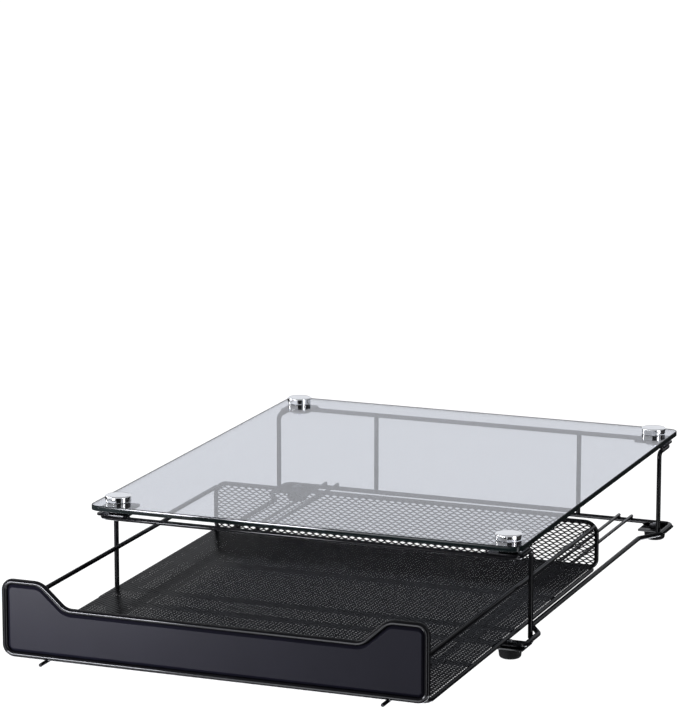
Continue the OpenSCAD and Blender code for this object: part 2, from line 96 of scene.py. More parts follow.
# Each light's name, place, target, width and height, and the property that holds its power
TARGET = (0, 0, 0.05)
LIGHTS = (
    ("key_light", (-0.9, -0.8, 2.2), TARGET, (1.6, 1.1), "key"),
    ("left_strip", (-1.5, 0.2, 1.3), TARGET, (0.16, 2.2), "strip"),
    ("right_strip", (1.9, -0.7, 0.9), TARGET, (0.16, 1.6), "strip"),
    ("fill_light", (-0.294, -0.634, 0.035), (-0.15, -0.27, 0.045), (0.20, 0.06), "fill"),
)
FILL_COLOUR = (0.92, 0.92, 1.0)
SKY_TINT = (1.0, 1.02, 1.07)

# What gloss mirrors of the studio. HEIGHTS holds greys by the height of a direction, from straight down
# to straight up. Where a direction's Z lies within LOW_BAND or HIGH_BAND, panels stand round the drawer
# instead, with greys by the share of a turn anticlockwise from straight away from the camera.
VIEW_TURN = math.radians(CAMERA_AZIMUTH + 180)
LOW_BAND, HIGH_BAND = (-0.55, 0.03), (0.03, 0.42)
HEIGHTS = (
    (0.0, 0.03), (0.12, 0.04), (0.15, 14.0), (0.18, 14.0),
    (0.21, 0.04), (0.7, 0.08), (0.74, 0.4), (1.0, 0.5),
)
LOW_PANELS = (
    (0.0, 0.03), (0.19, 0.9), (0.37, 14.0), (0.395, 0.9), (0.46, 0.03),
    (0.57, 0.9), (0.615, 14.0), (0.64, 0.9), (0.68, 0.03),
)
HIGH_PANELS = (
    (0.0, 0.76), (0.13, 0.03), (0.19, 0.8), (0.46, 0.03),
    (0.57, 0.8), (0.68, 0.03), (0.87, 0.76),
)


def low(node):
    return BOX[node][0]


def high(node):
    return BOX[node][1]


def middle(node):
    return (BOX[node][0] + BOX[node][1]) / 2


# ---- Sizes and colours -----------------------------------------------------


def length(name, description, value):
    """A length property, given in millimetres."""
    return FloatProperty(
        name=name,
        description=description,
        default=value * MM,
        min=0.0,
        max=(20 * value + 1) * MM,
        subtype="DISTANCE",
        unit="LENGTH",
        precision=5,
    )


def whole_number(name, description, value, least, most):
    return IntProperty(name=name, description=description, default=value, min=least, max=most)


def finish_colour(name, description, value):
    return FloatVectorProperty(
        name=name, description=description, default=value, size=3, min=0.0, max=1.0, subtype="COLOR"
    )


def strength(name, description, value, unit="NONE"):
    return FloatProperty(name=name, description=description, default=value, min=0.0, unit=unit)


class WireSizes(bpy.types.PropertyGroup):
    """Wire diameters and bends of the stand and of the tray."""

    stand_wire: length("Stand wire", "Diameter of the wire that the stand is bent from", 3.5)
    front_wire: length("Front wire", "Diameter of the wire round the tray's front", 4.0)
    tray_wire: length("Tray wire", "Diameter of the tray's other wires", 3.2)
    guide_wire: length("Guide wire", "Diameter of the guide rails and the runners", 2.5)
    corner_bend: length("Base corner bend", "Bend radius of the base loop's outer corners", 6.0)
    ear_bend: length("Ear bend", "Bend radius where the base loop turns in behind a foot", 7.0)
    ear_tail: length("Ear tail", "From a post's axis to the end of the ear's straight side", 7.9)
    ear_jog: length("Ear jog", "Depth over which the base loop turns in behind an ear", 18.0)
    post_bend: length("Post bend", "Bend radius at the top of each post", 4.0)
    arch_bend: length("Arch bend", "Bend radius of the arches at the corners of the glass", 7.0)
    front_bend: length("Front wire bend", "Bend radius of the front wire's outer corners", 6.5)
    notch_bend: length("Notch bend", "Bend radius of the front wire round the finger notch", 12.0)
    notch_inset: length("Notch inset", "From a side of the tray's front to the finger notch", 29.0)
    notch_slope: length("Notch slope", "Width over which each end of the notch slopes", 18.5)
    notch_depth: length("Notch depth", "Depth of the finger notch", 16.6)
    floor_bend: length("Floor wire bend", "Bend radius of the floor wire's corners", 6.0)
    back_high_bend: length("Back high bend", "Bend radius of the back wire's upper corners", 9.0)
    back_low_bend: length("Back low bend", "Bend radius of the back wire's lower corners", 6.0)
    hook_bend: length("Hook bend", "Bend radius of the stop hooks", 2.0)
    weld: length("Weld", "Radius of the weld nuggets where wires cross", 1.15)
    end_rounding: FloatProperty(
        name="End rounding",
        description="Rounding of a wire's cut ends as a share of its diameter",
        default=0.16,
        min=0.0,
        max=0.5,
    )
    wire_sides: whole_number("Wire sides", "Number of faces round a wire", 20, 8, 48)
    bend_steps: whole_number("Bend steps", "Number of points in a bend", 9, 3, 24)


class MeshSizes(bpy.types.PropertyGroup):
    """The expanded metal of the tray's floor and back."""

    long_pitch: length("Long pitch", "Length of a diamond along the front", 5.8)
    short_pitch: length("Short pitch", "Width of a diamond", 3.65)
    strand_width: length("Strand width", "Width of a strand", 0.92)
    strand_thickness: length("Strand thickness", "Thickness of a strand", 0.42)
    bond: length("Bond", "Half of the distance between two strands where they meet", 0.36)
    floor_corner: length("Floor corner", "Corner radius of the floor's mesh", 0.5)
    floor_gap: length("Floor gap", "From the floor's outline to its outermost strands", 0.45)
    back_gap: length("Back gap", "From the back wire to the outermost strands of the back", 0.5)
    twist: FloatProperty(
        name="Twist",
        description="Angle to which stretching the sheet turned each strand",
        default=math.radians(4),
        subtype="ANGLE",
        unit="ROTATION",
    )


class PlateSizes(bpy.types.PropertyGroup):
    """The glass, the welded plates, the front sheet and the knobs."""

    glass_corner: length("Glass corner", "Radius of the glass corners", 7.5)
    glass_arris: length("Glass arris", "Width of the ground arris along the edges of the glass", 0.55)
    glass_hole: length("Glass hole", "Radius of the holes in the glass", 3.5)
    plate_corner: length("Plate corner", "Corner radius of the upper plates", 3.0)
    plate_hole: length("Plate hole", "Radius of the holes in the upper plates", 3.5)
    foot_plate_corner: length("Foot plate corner", "Corner radius of the foot plates", 0.8)
    foot_plate_hole: length("Foot plate hole", "Radius of the holes in the foot plates", 2.25)
    plate_edge: length("Plate edge", "Rounding of the plates' edges", 0.3)
    shoulder_width: length("Shoulder width", "Width of the front sheet's border that curves back", 2.4)
    shoulder_depth: length("Shoulder depth", "Distance by which that border curves back", 1.9)
    shoulder_ease: FloatProperty(
        name="Shoulder ease", description="Share of that border that is rounded", default=0.1, min=0.01
    )
    sheet_overlap: length("Sheet overlap", "Depth to which the front sheet enters the wire", 0.25)
    sheet_corner: length("Sheet corner", "Smallest radius of the front sheet's corners", 0.4)
    face_setback: length("Face setback", "From the front wire's foremost line to the sheet's face", 1.05)
    sheet: length("Front sheet", "Thickness of the front sheet", 0.8)
    knob_edge: length("Knob edge", "Rounding of the knobs' upper edge", 0.6)
    knob_dome: length("Knob dome", "Rise of the knobs' top towards the middle", 0.5)
    knob_foot: length("Knob foot", "Rounding of the knobs' lower edge", 0.5)


class FastenerSizes(bpy.types.PropertyGroup):
    """The studs, screws and nuts; their heights come from their solids."""

    stud: length("Stud", "Radius of the knobs' studs", 3.0)
    stud_tip: length("Stud tip", "Chamfer at the lower end of the studs", 0.6)
    stud_pitch: length("Stud pitch", "Pitch of the thread on the studs", 1.0)
    stud_depth: length("Stud depth", "Depth of the thread on the studs", 0.3)
    stud_nut: length("Stud nut", "Width across the flats of the nuts on the studs", 10.0)
    screw: length("Screw", "Radius of the foot screws", 2.0)
    screw_pitch: length("Screw pitch", "Pitch of the thread on the screws", 0.7)
    screw_depth: length("Screw depth", "Depth of the thread on the screws", 0.22)
    screw_nut: length("Screw nut", "Width across the flats of the nuts on the screws", 7.0)
    head_radius: length("Head radius", "Radius of the screw heads", 3.7)
    head_height: length("Head height", "Height of the screw heads", 2.2)
    cross_arm: length("Cross arm", "Length of an arm of the cross in a screw head", 2.3)
    cross_half: length("Cross half", "Half of the width of such an arm", 0.45)
    nut_play: length("Nut play", "Gap between a nut's bore and the thread", 0.05)
    nut_bevel: length("Nut bevel", "Chamfer of a nut's bore", 0.4)


class RubberSizes(bpy.types.PropertyGroup):
    """The gaskets and the feet; their heights come from their solids."""

    gasket_bore: length("Gasket bore", "Radius of the hole in a gasket", 3.5)
    gasket_lip: length("Gasket lip", "Rounding of a gasket's lips", 0.45)
    gasket_waist: length("Gasket waist", "Depth of the groove round a gasket", 0.28)
    foot_base: length("Foot base", "Radius of a foot at its lower end", 7.8)
    foot_edge: length("Foot edge", "Rounding of a foot's lower edge", 2.2)
    foot_recess: length("Foot recess", "Radius of the recess for the screw head", 4.2)
    recess_height: length("Recess height", "Height of the recess for the screw head", 3.2)
    foot_bore: length("Foot bore", "Radius of the hole in a foot", 2.25)


class Finishes(bpy.types.PropertyGroup):
    """Colours of the drawer and strength of the studio."""

    wire_coat: finish_colour("Wire coat", "Gloss powder coat of the wires", (0.0016, 0.0016, 0.0020))
    sheet_coat: finish_colour("Sheet coat", "Satin powder coat of the front sheet", (0.0028, 0.0027, 0.0048))
    mesh_coat: finish_colour("Mesh coat", "Powder coat of the expanded metal", (0.0025, 0.0025, 0.0028))
    glass_tint: finish_colour("Glass tint", "Light that passes through the glass", (0.56, 0.58, 0.63))
    glass_edge: finish_colour("Glass edge", "Colour in the depth of the glass edges", (0.003, 0.005, 0.005))
    chrome: finish_colour("Chrome", "Colour of the chromed knobs", (0.95, 0.955, 0.965))
    zinc: finish_colour("Zinc", "Colour of the plated nuts under the glass", (0.60, 0.60, 0.61))
    dull_zinc: finish_colour("Dull zinc", "Colour of the screws and nuts of the feet", (0.16, 0.16, 0.17))
    rubber: finish_colour("Rubber", "Colour of the feet and gaskets", (0.002, 0.002, 0.0022))
    studio_floor: finish_colour("Studio floor", "Colour of the floor", (0.12, 0.12, 0.12))
    floor_glow: strength("Floor glow", "Light that the lit floor gives off", 1.0)
    sky: strength("Sky", "Strength of the light from all round", 1.0)
    key: strength("Key light", "Power of the large light", 14.0, "POWER")
    strip: strength("Strip light", "Power of each narrow light", 16.0, "POWER")
    fill: strength("Fill light", "Power of the low light", 8.0, "POWER")


def wires():
    return bpy.context.scene.pod_drawer_wires


def meshwork():
    return bpy.context.scene.pod_drawer_mesh


def plates():
    return bpy.context.scene.pod_drawer_plates


def fasteners():
    return bpy.context.scene.pod_drawer_fasteners


def rubber_parts():
    return bpy.context.scene.pod_drawer_rubber


def finishes():
    return bpy.context.scene.pod_drawer_finishes


# ---- Node helpers ----------------------------------------------------------


def add_node(tree, kind, inputs=None, **settings):
    """A node with its settings and its inputs, which are values or the sockets to link."""
    node = tree.nodes.new(kind)
    for key, value in settings.items():
        setattr(node, key, value)
    for key, value in (inputs or {}).items():
        socket = node.inputs[key]
        if isinstance(value, bpy.types.NodeSocket):
            tree.links.new(value, socket)
        else:
            socket.default_value = value
    return node


def add_math(tree, operation, *values):
    return add_node(tree, "ShaderNodeMath", dict(enumerate(values)), operation=operation).outputs[0]


def add_vector(tree, operation, *values):
    return add_node(tree, "ShaderNodeVectorMath", dict(enumerate(values)), operation=operation)


def new_modifier_tree(name, sizes):
    """A Geometry Nodes tree with a Geometry input and output and the named inputs."""
    tree = bpy.data.node_groups.new(name, "GeometryNodeTree")
    tree.is_modifier = True
    tree.interface.new_socket("Geometry", in_out="INPUT", socket_type="NodeSocketGeometry")
    for label, kind, default in sizes:
        socket = tree.interface.new_socket(label, in_out="INPUT", socket_type=kind)
        if default is not None:
            socket.default_value = default
    tree.interface.new_socket("Geometry", in_out="OUTPUT", socket_type="NodeSocketGeometry")
    return tree, tree.nodes.new("NodeGroupInput").outputs


def close_tree(tree, geometry, material, smooth=True):
    """Ends a tree in Set Shade Smooth, Realize Instances and Set Material."""
    shade = add_node(tree, "GeometryNodeSetShadeSmooth", {"Geometry": geometry, "Shade Smooth": smooth})
    real = add_node(tree, "GeometryNodeRealizeInstances", {"Geometry": shade.outputs[0]})
    paint = add_node(tree, "GeometryNodeSetMaterial", {"Geometry": real.outputs[0], "Material": material})
    out = tree.nodes.new("NodeGroupOutput")
    tree.links.new(paint.outputs[0], out.inputs[0])


def tree_named(name, build):
    """A node tree by its name, built on first use."""
    return bpy.data.node_groups.get(name) or build(name)


def new_piece(name, mesh):
    piece = bpy.data.objects.new(name, mesh)
    bpy.context.scene.collection.objects.link(piece)
    return piece


def shaped(piece, tree, values):
    """Runs a tree on a piece and keeps the result as the piece's plain mesh."""
    modifier = piece.modifiers.new(tree.name, "NODES")
    modifier.node_group = tree
    for item in tree.interface.items_tree:
        if item.item_type == "SOCKET" and item.in_out == "INPUT" and item.name in values:
            modifier[item.identifier] = values[item.name]
    bpy.context.view_layer.update()
    graph = bpy.context.evaluated_depsgraph_get()
    mesh = bpy.data.meshes.new_from_object(piece.evaluated_get(graph), depsgraph=graph)
    mesh.name = piece.name
    piece.modifiers.clear()
    piece.data = mesh
    if not mesh.polygons:
        raise RuntimeError(f"{piece.name} came out empty")
    return piece


def settle(piece, body, slot, *nodes):
    """Puts a finished piece on its body in place of its solids."""
    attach(piece, body)
    if nodes:
        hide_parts(*nodes)
    return piece


# ---- Bent wires ------------------------------------------------------------


def bent_wire_tree(name):
    tree, sizes = new_modifier_tree(
        name,
        [
            ("Diameter", "NodeSocketFloat", 0.003),
            ("Sides", "NodeSocketInt", 20),
            ("Bend Steps", "NodeSocketInt", 9),
            ("Material", "NodeSocketMaterial", None),
        ],
    )
    axis = add_node(tree, "GeometryNodeMeshToCurve", {"Mesh": sizes["Geometry"]})
    radius = add_node(tree, "GeometryNodeInputNamedAttribute", {"Name": "bend"}, data_type="FLOAT")
    bent = add_node(
        tree,
        "GeometryNodeFilletCurve",
        {"Curve": axis.outputs[0], "Count": sizes["Bend Steps"], "Radius": radius.outputs[0]},
        mode="POLY",
    )
    section = add_node(
        tree,
        "GeometryNodeCurvePrimitiveCircle",
        {"Resolution": sizes["Sides"], "Radius": add_math(tree, "MULTIPLY", sizes["Diameter"], 0.5)},
    )
    tube = add_node(
        tree,
        "GeometryNodeCurveToMesh",
        {"Curve": bent.outputs[0], "Profile Curve": section.outputs[0], "Fill Caps": True},
    )
    close_tree(tree, tube.outputs[0], sizes["Material"])
    return tree


def wire_axes(name, paths):
    """A mesh of the wires' axes. Each path is its corner points, their bend radii, and whether it closes."""
    points, edges, bends = [], [], []
    for corners, radii, closed in paths:
        first = len(points)
        points += [Vector(corner) for corner in corners]
        bends += list(radii)
        edges += [(first + i, first + i + 1) for i in range(len(corners) - 1)]
        if closed:
            edges.append((first + len(corners) - 1, first))
    mesh = bpy.data.meshes.new(name)
    mesh.from_pydata(points, edges, [])
    attribute = mesh.attributes.new("bend", "FLOAT", "POINT")
    attribute.data.foreach_set("value", bends)
    return mesh


def round_ends(mesh, radius):
    """Rounds off the cut ends of the wires, and keeps their rims crisp in the shading."""
    shape = bmesh.new()
    shape.from_mesh(mesh)
    bmesh.ops.remove_doubles(shape, verts=shape.verts, dist=SAME_PLACE)
    rims = [edge for face in shape.faces if len(face.verts) > 4 for edge in face.edges]
    if rims:
        bmesh.ops.bevel(
            shape,
            geom=rims,
            offset=radius,
            offset_type="OFFSET",
            segments=3,
            profile=0.5,
            affect="EDGES",
        )
    bmesh.ops.recalc_face_normals(shape, faces=shape.faces)
    shape.to_mesh(mesh)
    shape.free()
    mesh.set_sharp_from_angle(angle=math.radians(WIRE_CREASE))


def crease(mesh, degrees, flat):
    """Makes the edges past an angle sharp, and shades flat the faces that the test picks."""
    mesh.set_sharp_from_angle(angle=math.radians(degrees))
    mesh.polygons.foreach_set("use_smooth", [not flat(face) for face in mesh.polygons])


def lies_level(face):
    return abs(face.normal.z) > LEVEL


def straight(start, end):
    """The axis of a straight wire between two points."""
    return ([start, end], [0, 0], False)


def lengthwise(node):
    """The axis of a straight wire that runs from the front to the back."""
    centre = middle(node)
    return straight((centre.x, low(node).y, centre.z), (centre.x, high(node).y, centre.z))


def upright(node):
    """The axis of a straight wire that stands upright."""
    centre = middle(node)
    return straight((centre.x, centre.y, low(node).z), (centre.x, centre.y, high(node).z))


def make_wires(name, paths, diameter, body, *nodes):
    """One mesh of coated wires along their axes, with their cut ends rounded off."""
    tree = tree_named("bent wire", bent_wire_tree)
    piece = new_piece(name, wire_axes(name, paths))
    shaped(
        piece,
        tree,
        {
            "Diameter": diameter,
            "Sides": wires().wire_sides,
            "Bend Steps": wires().bend_steps,
            "Material": finish("wire_gloss_coat"),
        },
    )
    round_ends(piece.data, diameter * wires().end_rounding)
    return settle(piece, body, "black_wire", *nodes)


# ---- Weld nuggets ----------------------------------------------------------


def weld_tree(name):
    tree, sizes = new_modifier_tree(
        name,
        [
            ("Radius", "NodeSocketFloat", 0.001),
            ("Seed", "NodeSocketInt", WELD_SEED),
            ("Material", "NodeSocketMaterial", None),
        ],
    )
    drop = add_node(tree, "GeometryNodeMeshIcoSphere", {"Radius": sizes["Radius"], "Subdivisions": 2})
    along = add_node(tree, "GeometryNodeInputNamedAttribute", {"Name": "along"}, data_type="FLOAT_VECTOR")
    turn = add_node(tree, "FunctionNodeAlignRotationToVector", {"Vector": along.outputs[0]}, axis="X")
    spread = add_node(
        tree,
        "FunctionNodeRandomValue",
        {0: WELD_LEAST, 1: WELD_MOST, "Seed": sizes["Seed"]},
        data_type="FLOAT_VECTOR",
    )
    welds = add_node(
        tree,
        "GeometryNodeInstanceOnPoints",
        {
            "Points": sizes["Geometry"],
            "Instance": drop.outputs[0],
            "Rotation": turn.outputs[0],
            "Scale": spread.outputs[0],
        },
    )
    close_tree(tree, welds.outputs[0], sizes["Material"])
    return tree


def make_welds(name, spots, body):
    """Small weld nuggets. Each spot is its place and the direction along which it lies."""
    tree = tree_named("weld nuggets", weld_tree)
    mesh = bpy.data.meshes.new(name)
    mesh.from_pydata([Vector(place) for place, _ in spots], [], [])
    attribute = mesh.attributes.new("along", "FLOAT_VECTOR", "POINT")
    attribute.data.foreach_set("vector", [value for _, along in spots for value in along])
    piece = new_piece(name, mesh)
    shaped(
        piece, tree, {"Radius": wires().weld, "Seed": WELD_SEED, "Material": finish("wire_gloss_coat")}
    )
    return settle(piece, body, "black_wire")


# ---- Sets of four ----------------------------------------------------------


def corner_set_tree(name):
    tree, sizes = new_modifier_tree(
        name,
        [
            ("Part", "NodeSocketObject", None),
            ("Turn", "NodeSocketFloat", 0.0),
            ("Seed", "NodeSocketInt", CORNER_SEED),
            ("Material", "NodeSocketMaterial", None),
        ],
    )
    part = add_node(tree, "GeometryNodeObjectInfo", {"Object": sizes["Part"]})
    angle = add_node(
        tree,
        "FunctionNodeRandomValue",
        {2: 0.0, 3: sizes["Turn"], "Seed": sizes["Seed"]},
        data_type="FLOAT",
    )
    turn = add_node(tree, "ShaderNodeCombineXYZ", {"Z": angle.outputs[1]})
    spin = add_node(tree, "FunctionNodeEulerToRotation", {"Euler": turn.outputs[0]})
    parts = add_node(
        tree,
        "GeometryNodeInstanceOnPoints",
        {
            "Points": sizes["Geometry"],
            "Instance": part.outputs["Geometry"],
            "Rotation": spin.outputs[0],
        },
    )
    close_tree(tree, parts.outputs[0], sizes["Material"])
    return tree


def make_corner_set(name, shape, places, material, turn, body, slot, *nodes):
    """One mesh of like parts, the same shape at each of the places, turned at random by up to turn."""
    tree = tree_named("corner set", corner_set_tree)
    model = bpy.data.meshes.new(name + "_part")
    shape.to_mesh(model)
    shape.free()
    part = new_piece(name + "_part", model)
    mesh = bpy.data.meshes.new(name)
    mesh.from_pydata([Vector(place) for place in places], [], [])
    piece = new_piece(name, mesh)
    shaped(piece, tree, {"Part": part, "Turn": turn, "Seed": CORNER_SEED, "Material": finish(material)})
    piece.data.set_sharp_from_angle(angle=math.radians(TURNED_CREASE))
    bpy.data.objects.remove(part)
    bpy.data.meshes.remove(model)
    return settle(piece, body, slot, *nodes)


def turned(profile, steps, reshape=None):
    """A closed body of revolution about Z.

    The profile is its rings' radii and heights. It closes on itself unless it starts on the axis.
    reshape(ring, angle, radius, height) may give a point of a ring another radius and height.
    """
    shape = bmesh.new()
    rings = []
    for number, (radius, height) in enumerate(profile):
        if radius <= 0:
            rings.append([shape.verts.new((0, 0, height))])
            continue
        ring = []
        for k in range(steps):
            angle = 2 * math.pi * k / steps
            r, z = reshape(number, angle, radius, height) if reshape else (radius, height)
            ring.append(shape.verts.new((r * math.cos(angle), r * math.sin(angle), z)))
        rings.append(ring)
    closed = len(rings[0]) > 1
    pairs = list(zip(rings, rings[1:])) + ([(rings[-1], rings[0])] if closed else [])
    for a, b in pairs:
        for k in range(steps):
            n = (k + 1) % steps
            if len(a) == 1:
                shape.faces.new((a[0], b[k], b[n]))
            elif len(b) == 1:
                shape.faces.new((a[k], b[0], a[n]))
            else:
                shape.faces.new((a[k], b[k], b[n], a[n]))
    bmesh.ops.recalc_face_normals(shape, faces=shape.faces)
    return shape


def arc(centre_r, centre_z, radius, start, end, steps):
    """Points of an arc in a profile, with its angles in degrees from the outward direction."""
    angles = [math.radians(start + (end - start) * k / steps) for k in range(steps + 1)]
    return [(centre_r + radius * math.cos(angle), centre_z + radius * math.sin(angle)) for angle in angles]


def thread(radius, bottom, top, pitch, depth):
    """Rings of a fine thread, from the bottom to the top; its turns are rings and don't climb."""
    turns = max(1, int((top - bottom) / pitch))
    step = (top - bottom) / turns
    points = []
    for k in range(turns):
        z = bottom + k * step
        points.append((radius - depth, z + VALLEY_END * step))
        points += [(radius, z + CREST_START * step), (radius, z + CREST_END * step)]
    points.append((radius - depth, top))
    return points


# ---- Outlines --------------------------------------------------------------


def inset_outline(points, distance):
    """A closed anticlockwise outline of straight sides, moved inwards."""
    moved = []
    for i, p in enumerate(points):
        u = (p - points[i - 1]).normalized()
        v = (points[(i + 1) % len(points)] - p).normalized()
        nu, nv = Vector((-u.y, u.x)), Vector((-v.y, v.x))
        moved.append(p + distance * (nu + nv) / (1 + nu.dot(nv)))
    return moved


def rounded_outline(points, radii, steps):
    """A closed anticlockwise outline with its corners rounded."""
    result = []
    for i, p in enumerate(points):
        u = (p - points[i - 1]).normalized()
        v = (points[(i + 1) % len(points)] - p).normalized()
        turn = math.acos(max(-1.0, min(1.0, u.dot(v))))
        side = 1 if u.x * v.y - u.y * v.x > 0 else -1
        start = p - u * radii[i] * math.tan(turn / 2)
        centre = start + side * radii[i] * Vector((-u.y, u.x))
        arm = start - centre
        for k in range(steps + 1):
            result.append(centre + Matrix.Rotation(side * turn * k / steps, 2) @ arm)
    return result


def round_hole(x, y, radius, steps=32):
    """A hole's outline, clockwise."""
    turns = [-2 * math.pi * k / steps for k in range(steps)]
    return [Vector((x + radius * math.cos(turn), y + radius * math.sin(turn))) for turn in turns]


def flat_plate(name, outline, holes, thickness, arris, steps):
    """A plate lying on z = 0 with rounded edges, from a filled flat curve."""
    curve = bpy.data.curves.new(name, "CURVE")
    curve.dimensions = "2D"
    curve.fill_mode = "BOTH"
    curve.extrude = thickness / 2 - arris
    curve.bevel_depth = arris
    curve.bevel_resolution = steps
    curve.offset = -arris
    for ring in [outline] + [round_hole(*hole) for hole in holes]:
        spline = curve.splines.new("POLY")
        spline.points.add(len(ring) - 1)
        for point, place in zip(spline.points, ring):
            point.co = (place.x, place.y, 0, 1)
        spline.use_cyclic_u = True
    holder = new_piece(name + "_curve", curve)
    bpy.context.view_layer.update()
    graph = bpy.context.evaluated_depsgraph_get()
    mesh = bpy.data.meshes.new_from_object(holder.evaluated_get(graph), depsgraph=graph)
    bpy.data.objects.remove(holder)
    bpy.data.curves.remove(curve)
    shape = bmesh.new()
    shape.from_mesh(mesh)
    bpy.data.meshes.remove(mesh)
    bmesh.ops.translate(shape, verts=shape.verts, vec=(0, 0, thickness / 2))
    bmesh.ops.remove_doubles(shape, verts=shape.verts, dist=SAME_PLACE)
    bmesh.ops.recalc_face_normals(shape, faces=shape.faces)
    return shape


def footprint(node, radius, steps):
    """The outline of a solid's box seen from above, with its corners rounded."""
    lo, hi = BOX[node]
    corners = [Vector(point) for point in ((lo.x, lo.y), (hi.x, lo.y), (hi.x, hi.y), (lo.x, hi.y))]
    return rounded_outline(corners, [radius] * 4, steps)


# ---- Materials -------------------------------------------------------------


# Each finish: the property that holds its colour; the scale, detail and depth of its lighter and darker
# patches; the scale, detail, least and most of its roughness; and the scale, detail, height and strength
# of its relief. Stretch draws the noise out. The rest are even values of the shader's own sockets.
FINISHES = {
    # Gloss powder coat with a faint orange peel
    "wire_gloss_coat": dict(
        colour="wire_coat",
        patches=(60, 3, 0.25),
        roughness=(180, 3, 0.09, 0.14),
        relief=(900, 3, 0.02 * MM, 0.25),
        Specular_IOR_Level=0.1,
    ),
    # Satin powder coat with a fine, even grain
    "sheet_satin_coat": dict(
        colour="sheet_coat",
        patches=(30, 3, 0.12),
        roughness=(1600, 2, 0.36, 0.46),
        relief=(1600, 2, 0.04 * MM, 0.5),
        Specular_IOR_Level=0.04,
    ),
    # Powder coat on the expanded metal, a little thicker and duller in random patches
    "mesh_coat": dict(
        colour="mesh_coat",
        patches=(500, 3, 0.4),
        roughness=(700, 3, 0.13, 0.21),
        relief=(1400, 3, 0.03 * MM, 0.4),
        Specular_IOR_Level=0.09,
    ),
    # Clear tempered glass, faintly uneven as such glass is
    "float_glass": dict(
        colour="glass_tint",
        relief=(9, 1, 0.02 * MM, 0.15),
        Roughness=0.0,
        IOR=1.52,
        Specular_IOR_Level=0.3,
        Transmission_Weight=1.0,
    ),
    # The ground and polished edge, dark in its depth, with fine lengthwise marks
    "glass_polished_edge": dict(
        colour="glass_edge",
        patches=(55, 3, 0.55),
        roughness=(55, 3, 0.05, 0.16),
        stretch=(1, 1, 14),
        IOR=1.52,
        Specular_IOR_Level=0.12,
    ),
    # Polished chrome with the faintest wipe marks
    "knob_chrome": dict(
        colour="chrome",
        patches=(90, 3, 0.03),
        roughness=(120, 2, 0.02, 0.05),
        Metallic=1.0,
    ),
    # Slightly cloudy zinc plate, bright
    "zinc_plate": dict(
        colour="zinc",
        patches=(350, 4, 0.14),
        roughness=(350, 4, 0.22, 0.42),
        relief=(1500, 3, 0.03 * MM, 0.4),
        Metallic=1.0,
    ),
    # Moulded rubber with a fine matte grain
    "moulded_rubber": dict(
        colour="rubber",
        patches=(200, 3, 0.25),
        roughness=(1300, 3, 0.55, 0.75),
        relief=(1300, 3, 0.08 * MM, 0.6),
        Specular_IOR_Level=0.08,
    ),
    # The floor of the studio, lit from within
    "studio_floor": dict(
        colour="studio_floor",
        patches=(3, 2, 0.006),
        Roughness=0.9,
        Specular_IOR_Level=0.1,
        Emission_Color=(1, 1, 1, 1),
    ),
}
FINISHES["zinc_dull"] = {**FINISHES["zinc_plate"], "colour": "dull_zinc"}


def finish(name):
    """A material by its name, built on first use."""
    return bpy.data.materials.get(name) or build_finish(name, **FINISHES[name])


def build_finish(name, colour, patches=None, roughness=None, relief=None, stretch=None, **sockets):
    material = bpy.data.materials.new(name)
    material.use_nodes = True
    tree = material.node_tree
    shader = tree.nodes["Principled BSDF"]
    for key, value in sockets.items():
        shader.inputs[key.replace("_", " ")].default_value = value
    colour = getattr(finishes(), colour)
    shader.inputs["Base Color"].default_value = (*colour, 1)
    place = add_node(tree, "ShaderNodeTexCoord").outputs["Object"]
    if stretch:
        place = add_node(tree, "ShaderNodeMapping", {"Vector": place, "Scale": stretch}).outputs[0]
    if patches:
        scale, detail, depth = patches
        shade = shades(tree, noise(tree, place, scale, detail), colour, depth)
        tree.links.new(shade, shader.inputs["Base Color"])
    if roughness:
        scale, detail, least, most = roughness
        dullness = add_node(
            tree,
            "ShaderNodeMapRange",
            {"Value": noise(tree, place, scale, detail), "To Min": least, "To Max": most},
        )
        tree.links.new(dullness.outputs["Result"], shader.inputs["Roughness"])
    if relief:
        scale, detail, height, amount = relief
        bump = add_node(
            tree,
            "ShaderNodeBump",
            {"Height": noise(tree, place, scale, detail), "Distance": height, "Strength": amount},
        )
        tree.links.new(bump.outputs[0], shader.inputs["Normal"])
    return material


def noise(tree, place, scale, detail):
    return add_node(
        tree,
        "ShaderNodeTexNoise",
        {"Vector": place, "Scale": scale, "Detail": detail, "Roughness": 0.55},
    ).outputs["Fac"]


def shades(tree, factor, colour, depth):
    """Lets a colour wander between a darker and a lighter shade of itself."""
    ramp = tree.nodes.new("ShaderNodeValToRGB")
    dark, light = ramp.color_ramp.elements
    dark.position, light.position = 0.3, 0.7
    dark.color = (*[part * (1 - depth) for part in colour], 1)
    light.color = (*[min(1, part * (1 + depth)) for part in colour], 1)
    tree.links.new(factor, ramp.inputs[0])
    return ramp.outputs[0]


# ---- The stand -------------------------------------------------------------


def corner_places(prefix):
    """Axis of the part at each corner of the stand, at its lower end."""
    spots = []
    for corner in CORNERS:
        centre = middle(prefix + corner)
        spots.append((centre.x, centre.y, low(prefix + corner).z))
    return spots


def at_height(places, height):
    return [(x, y, height) for x, y, _ in places]


def stand_measures():
    """Axes of the stand's wires, read from its solids."""
    half = wires().stand_wire / 2
    arch_low, arch_high = BOX["front_arch"]
    rail, stop = middle("guide_rail_right_inner"), middle("stop_wire_right")
    return SimpleNamespace(
        post_x=arch_high.x - half,
        post_y=arch_high.y - half,
        arch_y=arch_low.y + half,
        arch_z=arch_high.z - half,
        foot_z=arch_low.z,
        base_z=arch_low.z + half,
        ear_x=arch_high.x + half,
        side_x=low("base_side_right").x + half + COLLAR,
        bar_y=middle("base_crossbar_front").y,
        rail_x=(rail.x, middle("guide_rail_right_outer").x),
        stop_x=stop.x,
        stop_y=stop.y,
    )


def at_front(y):
    return y


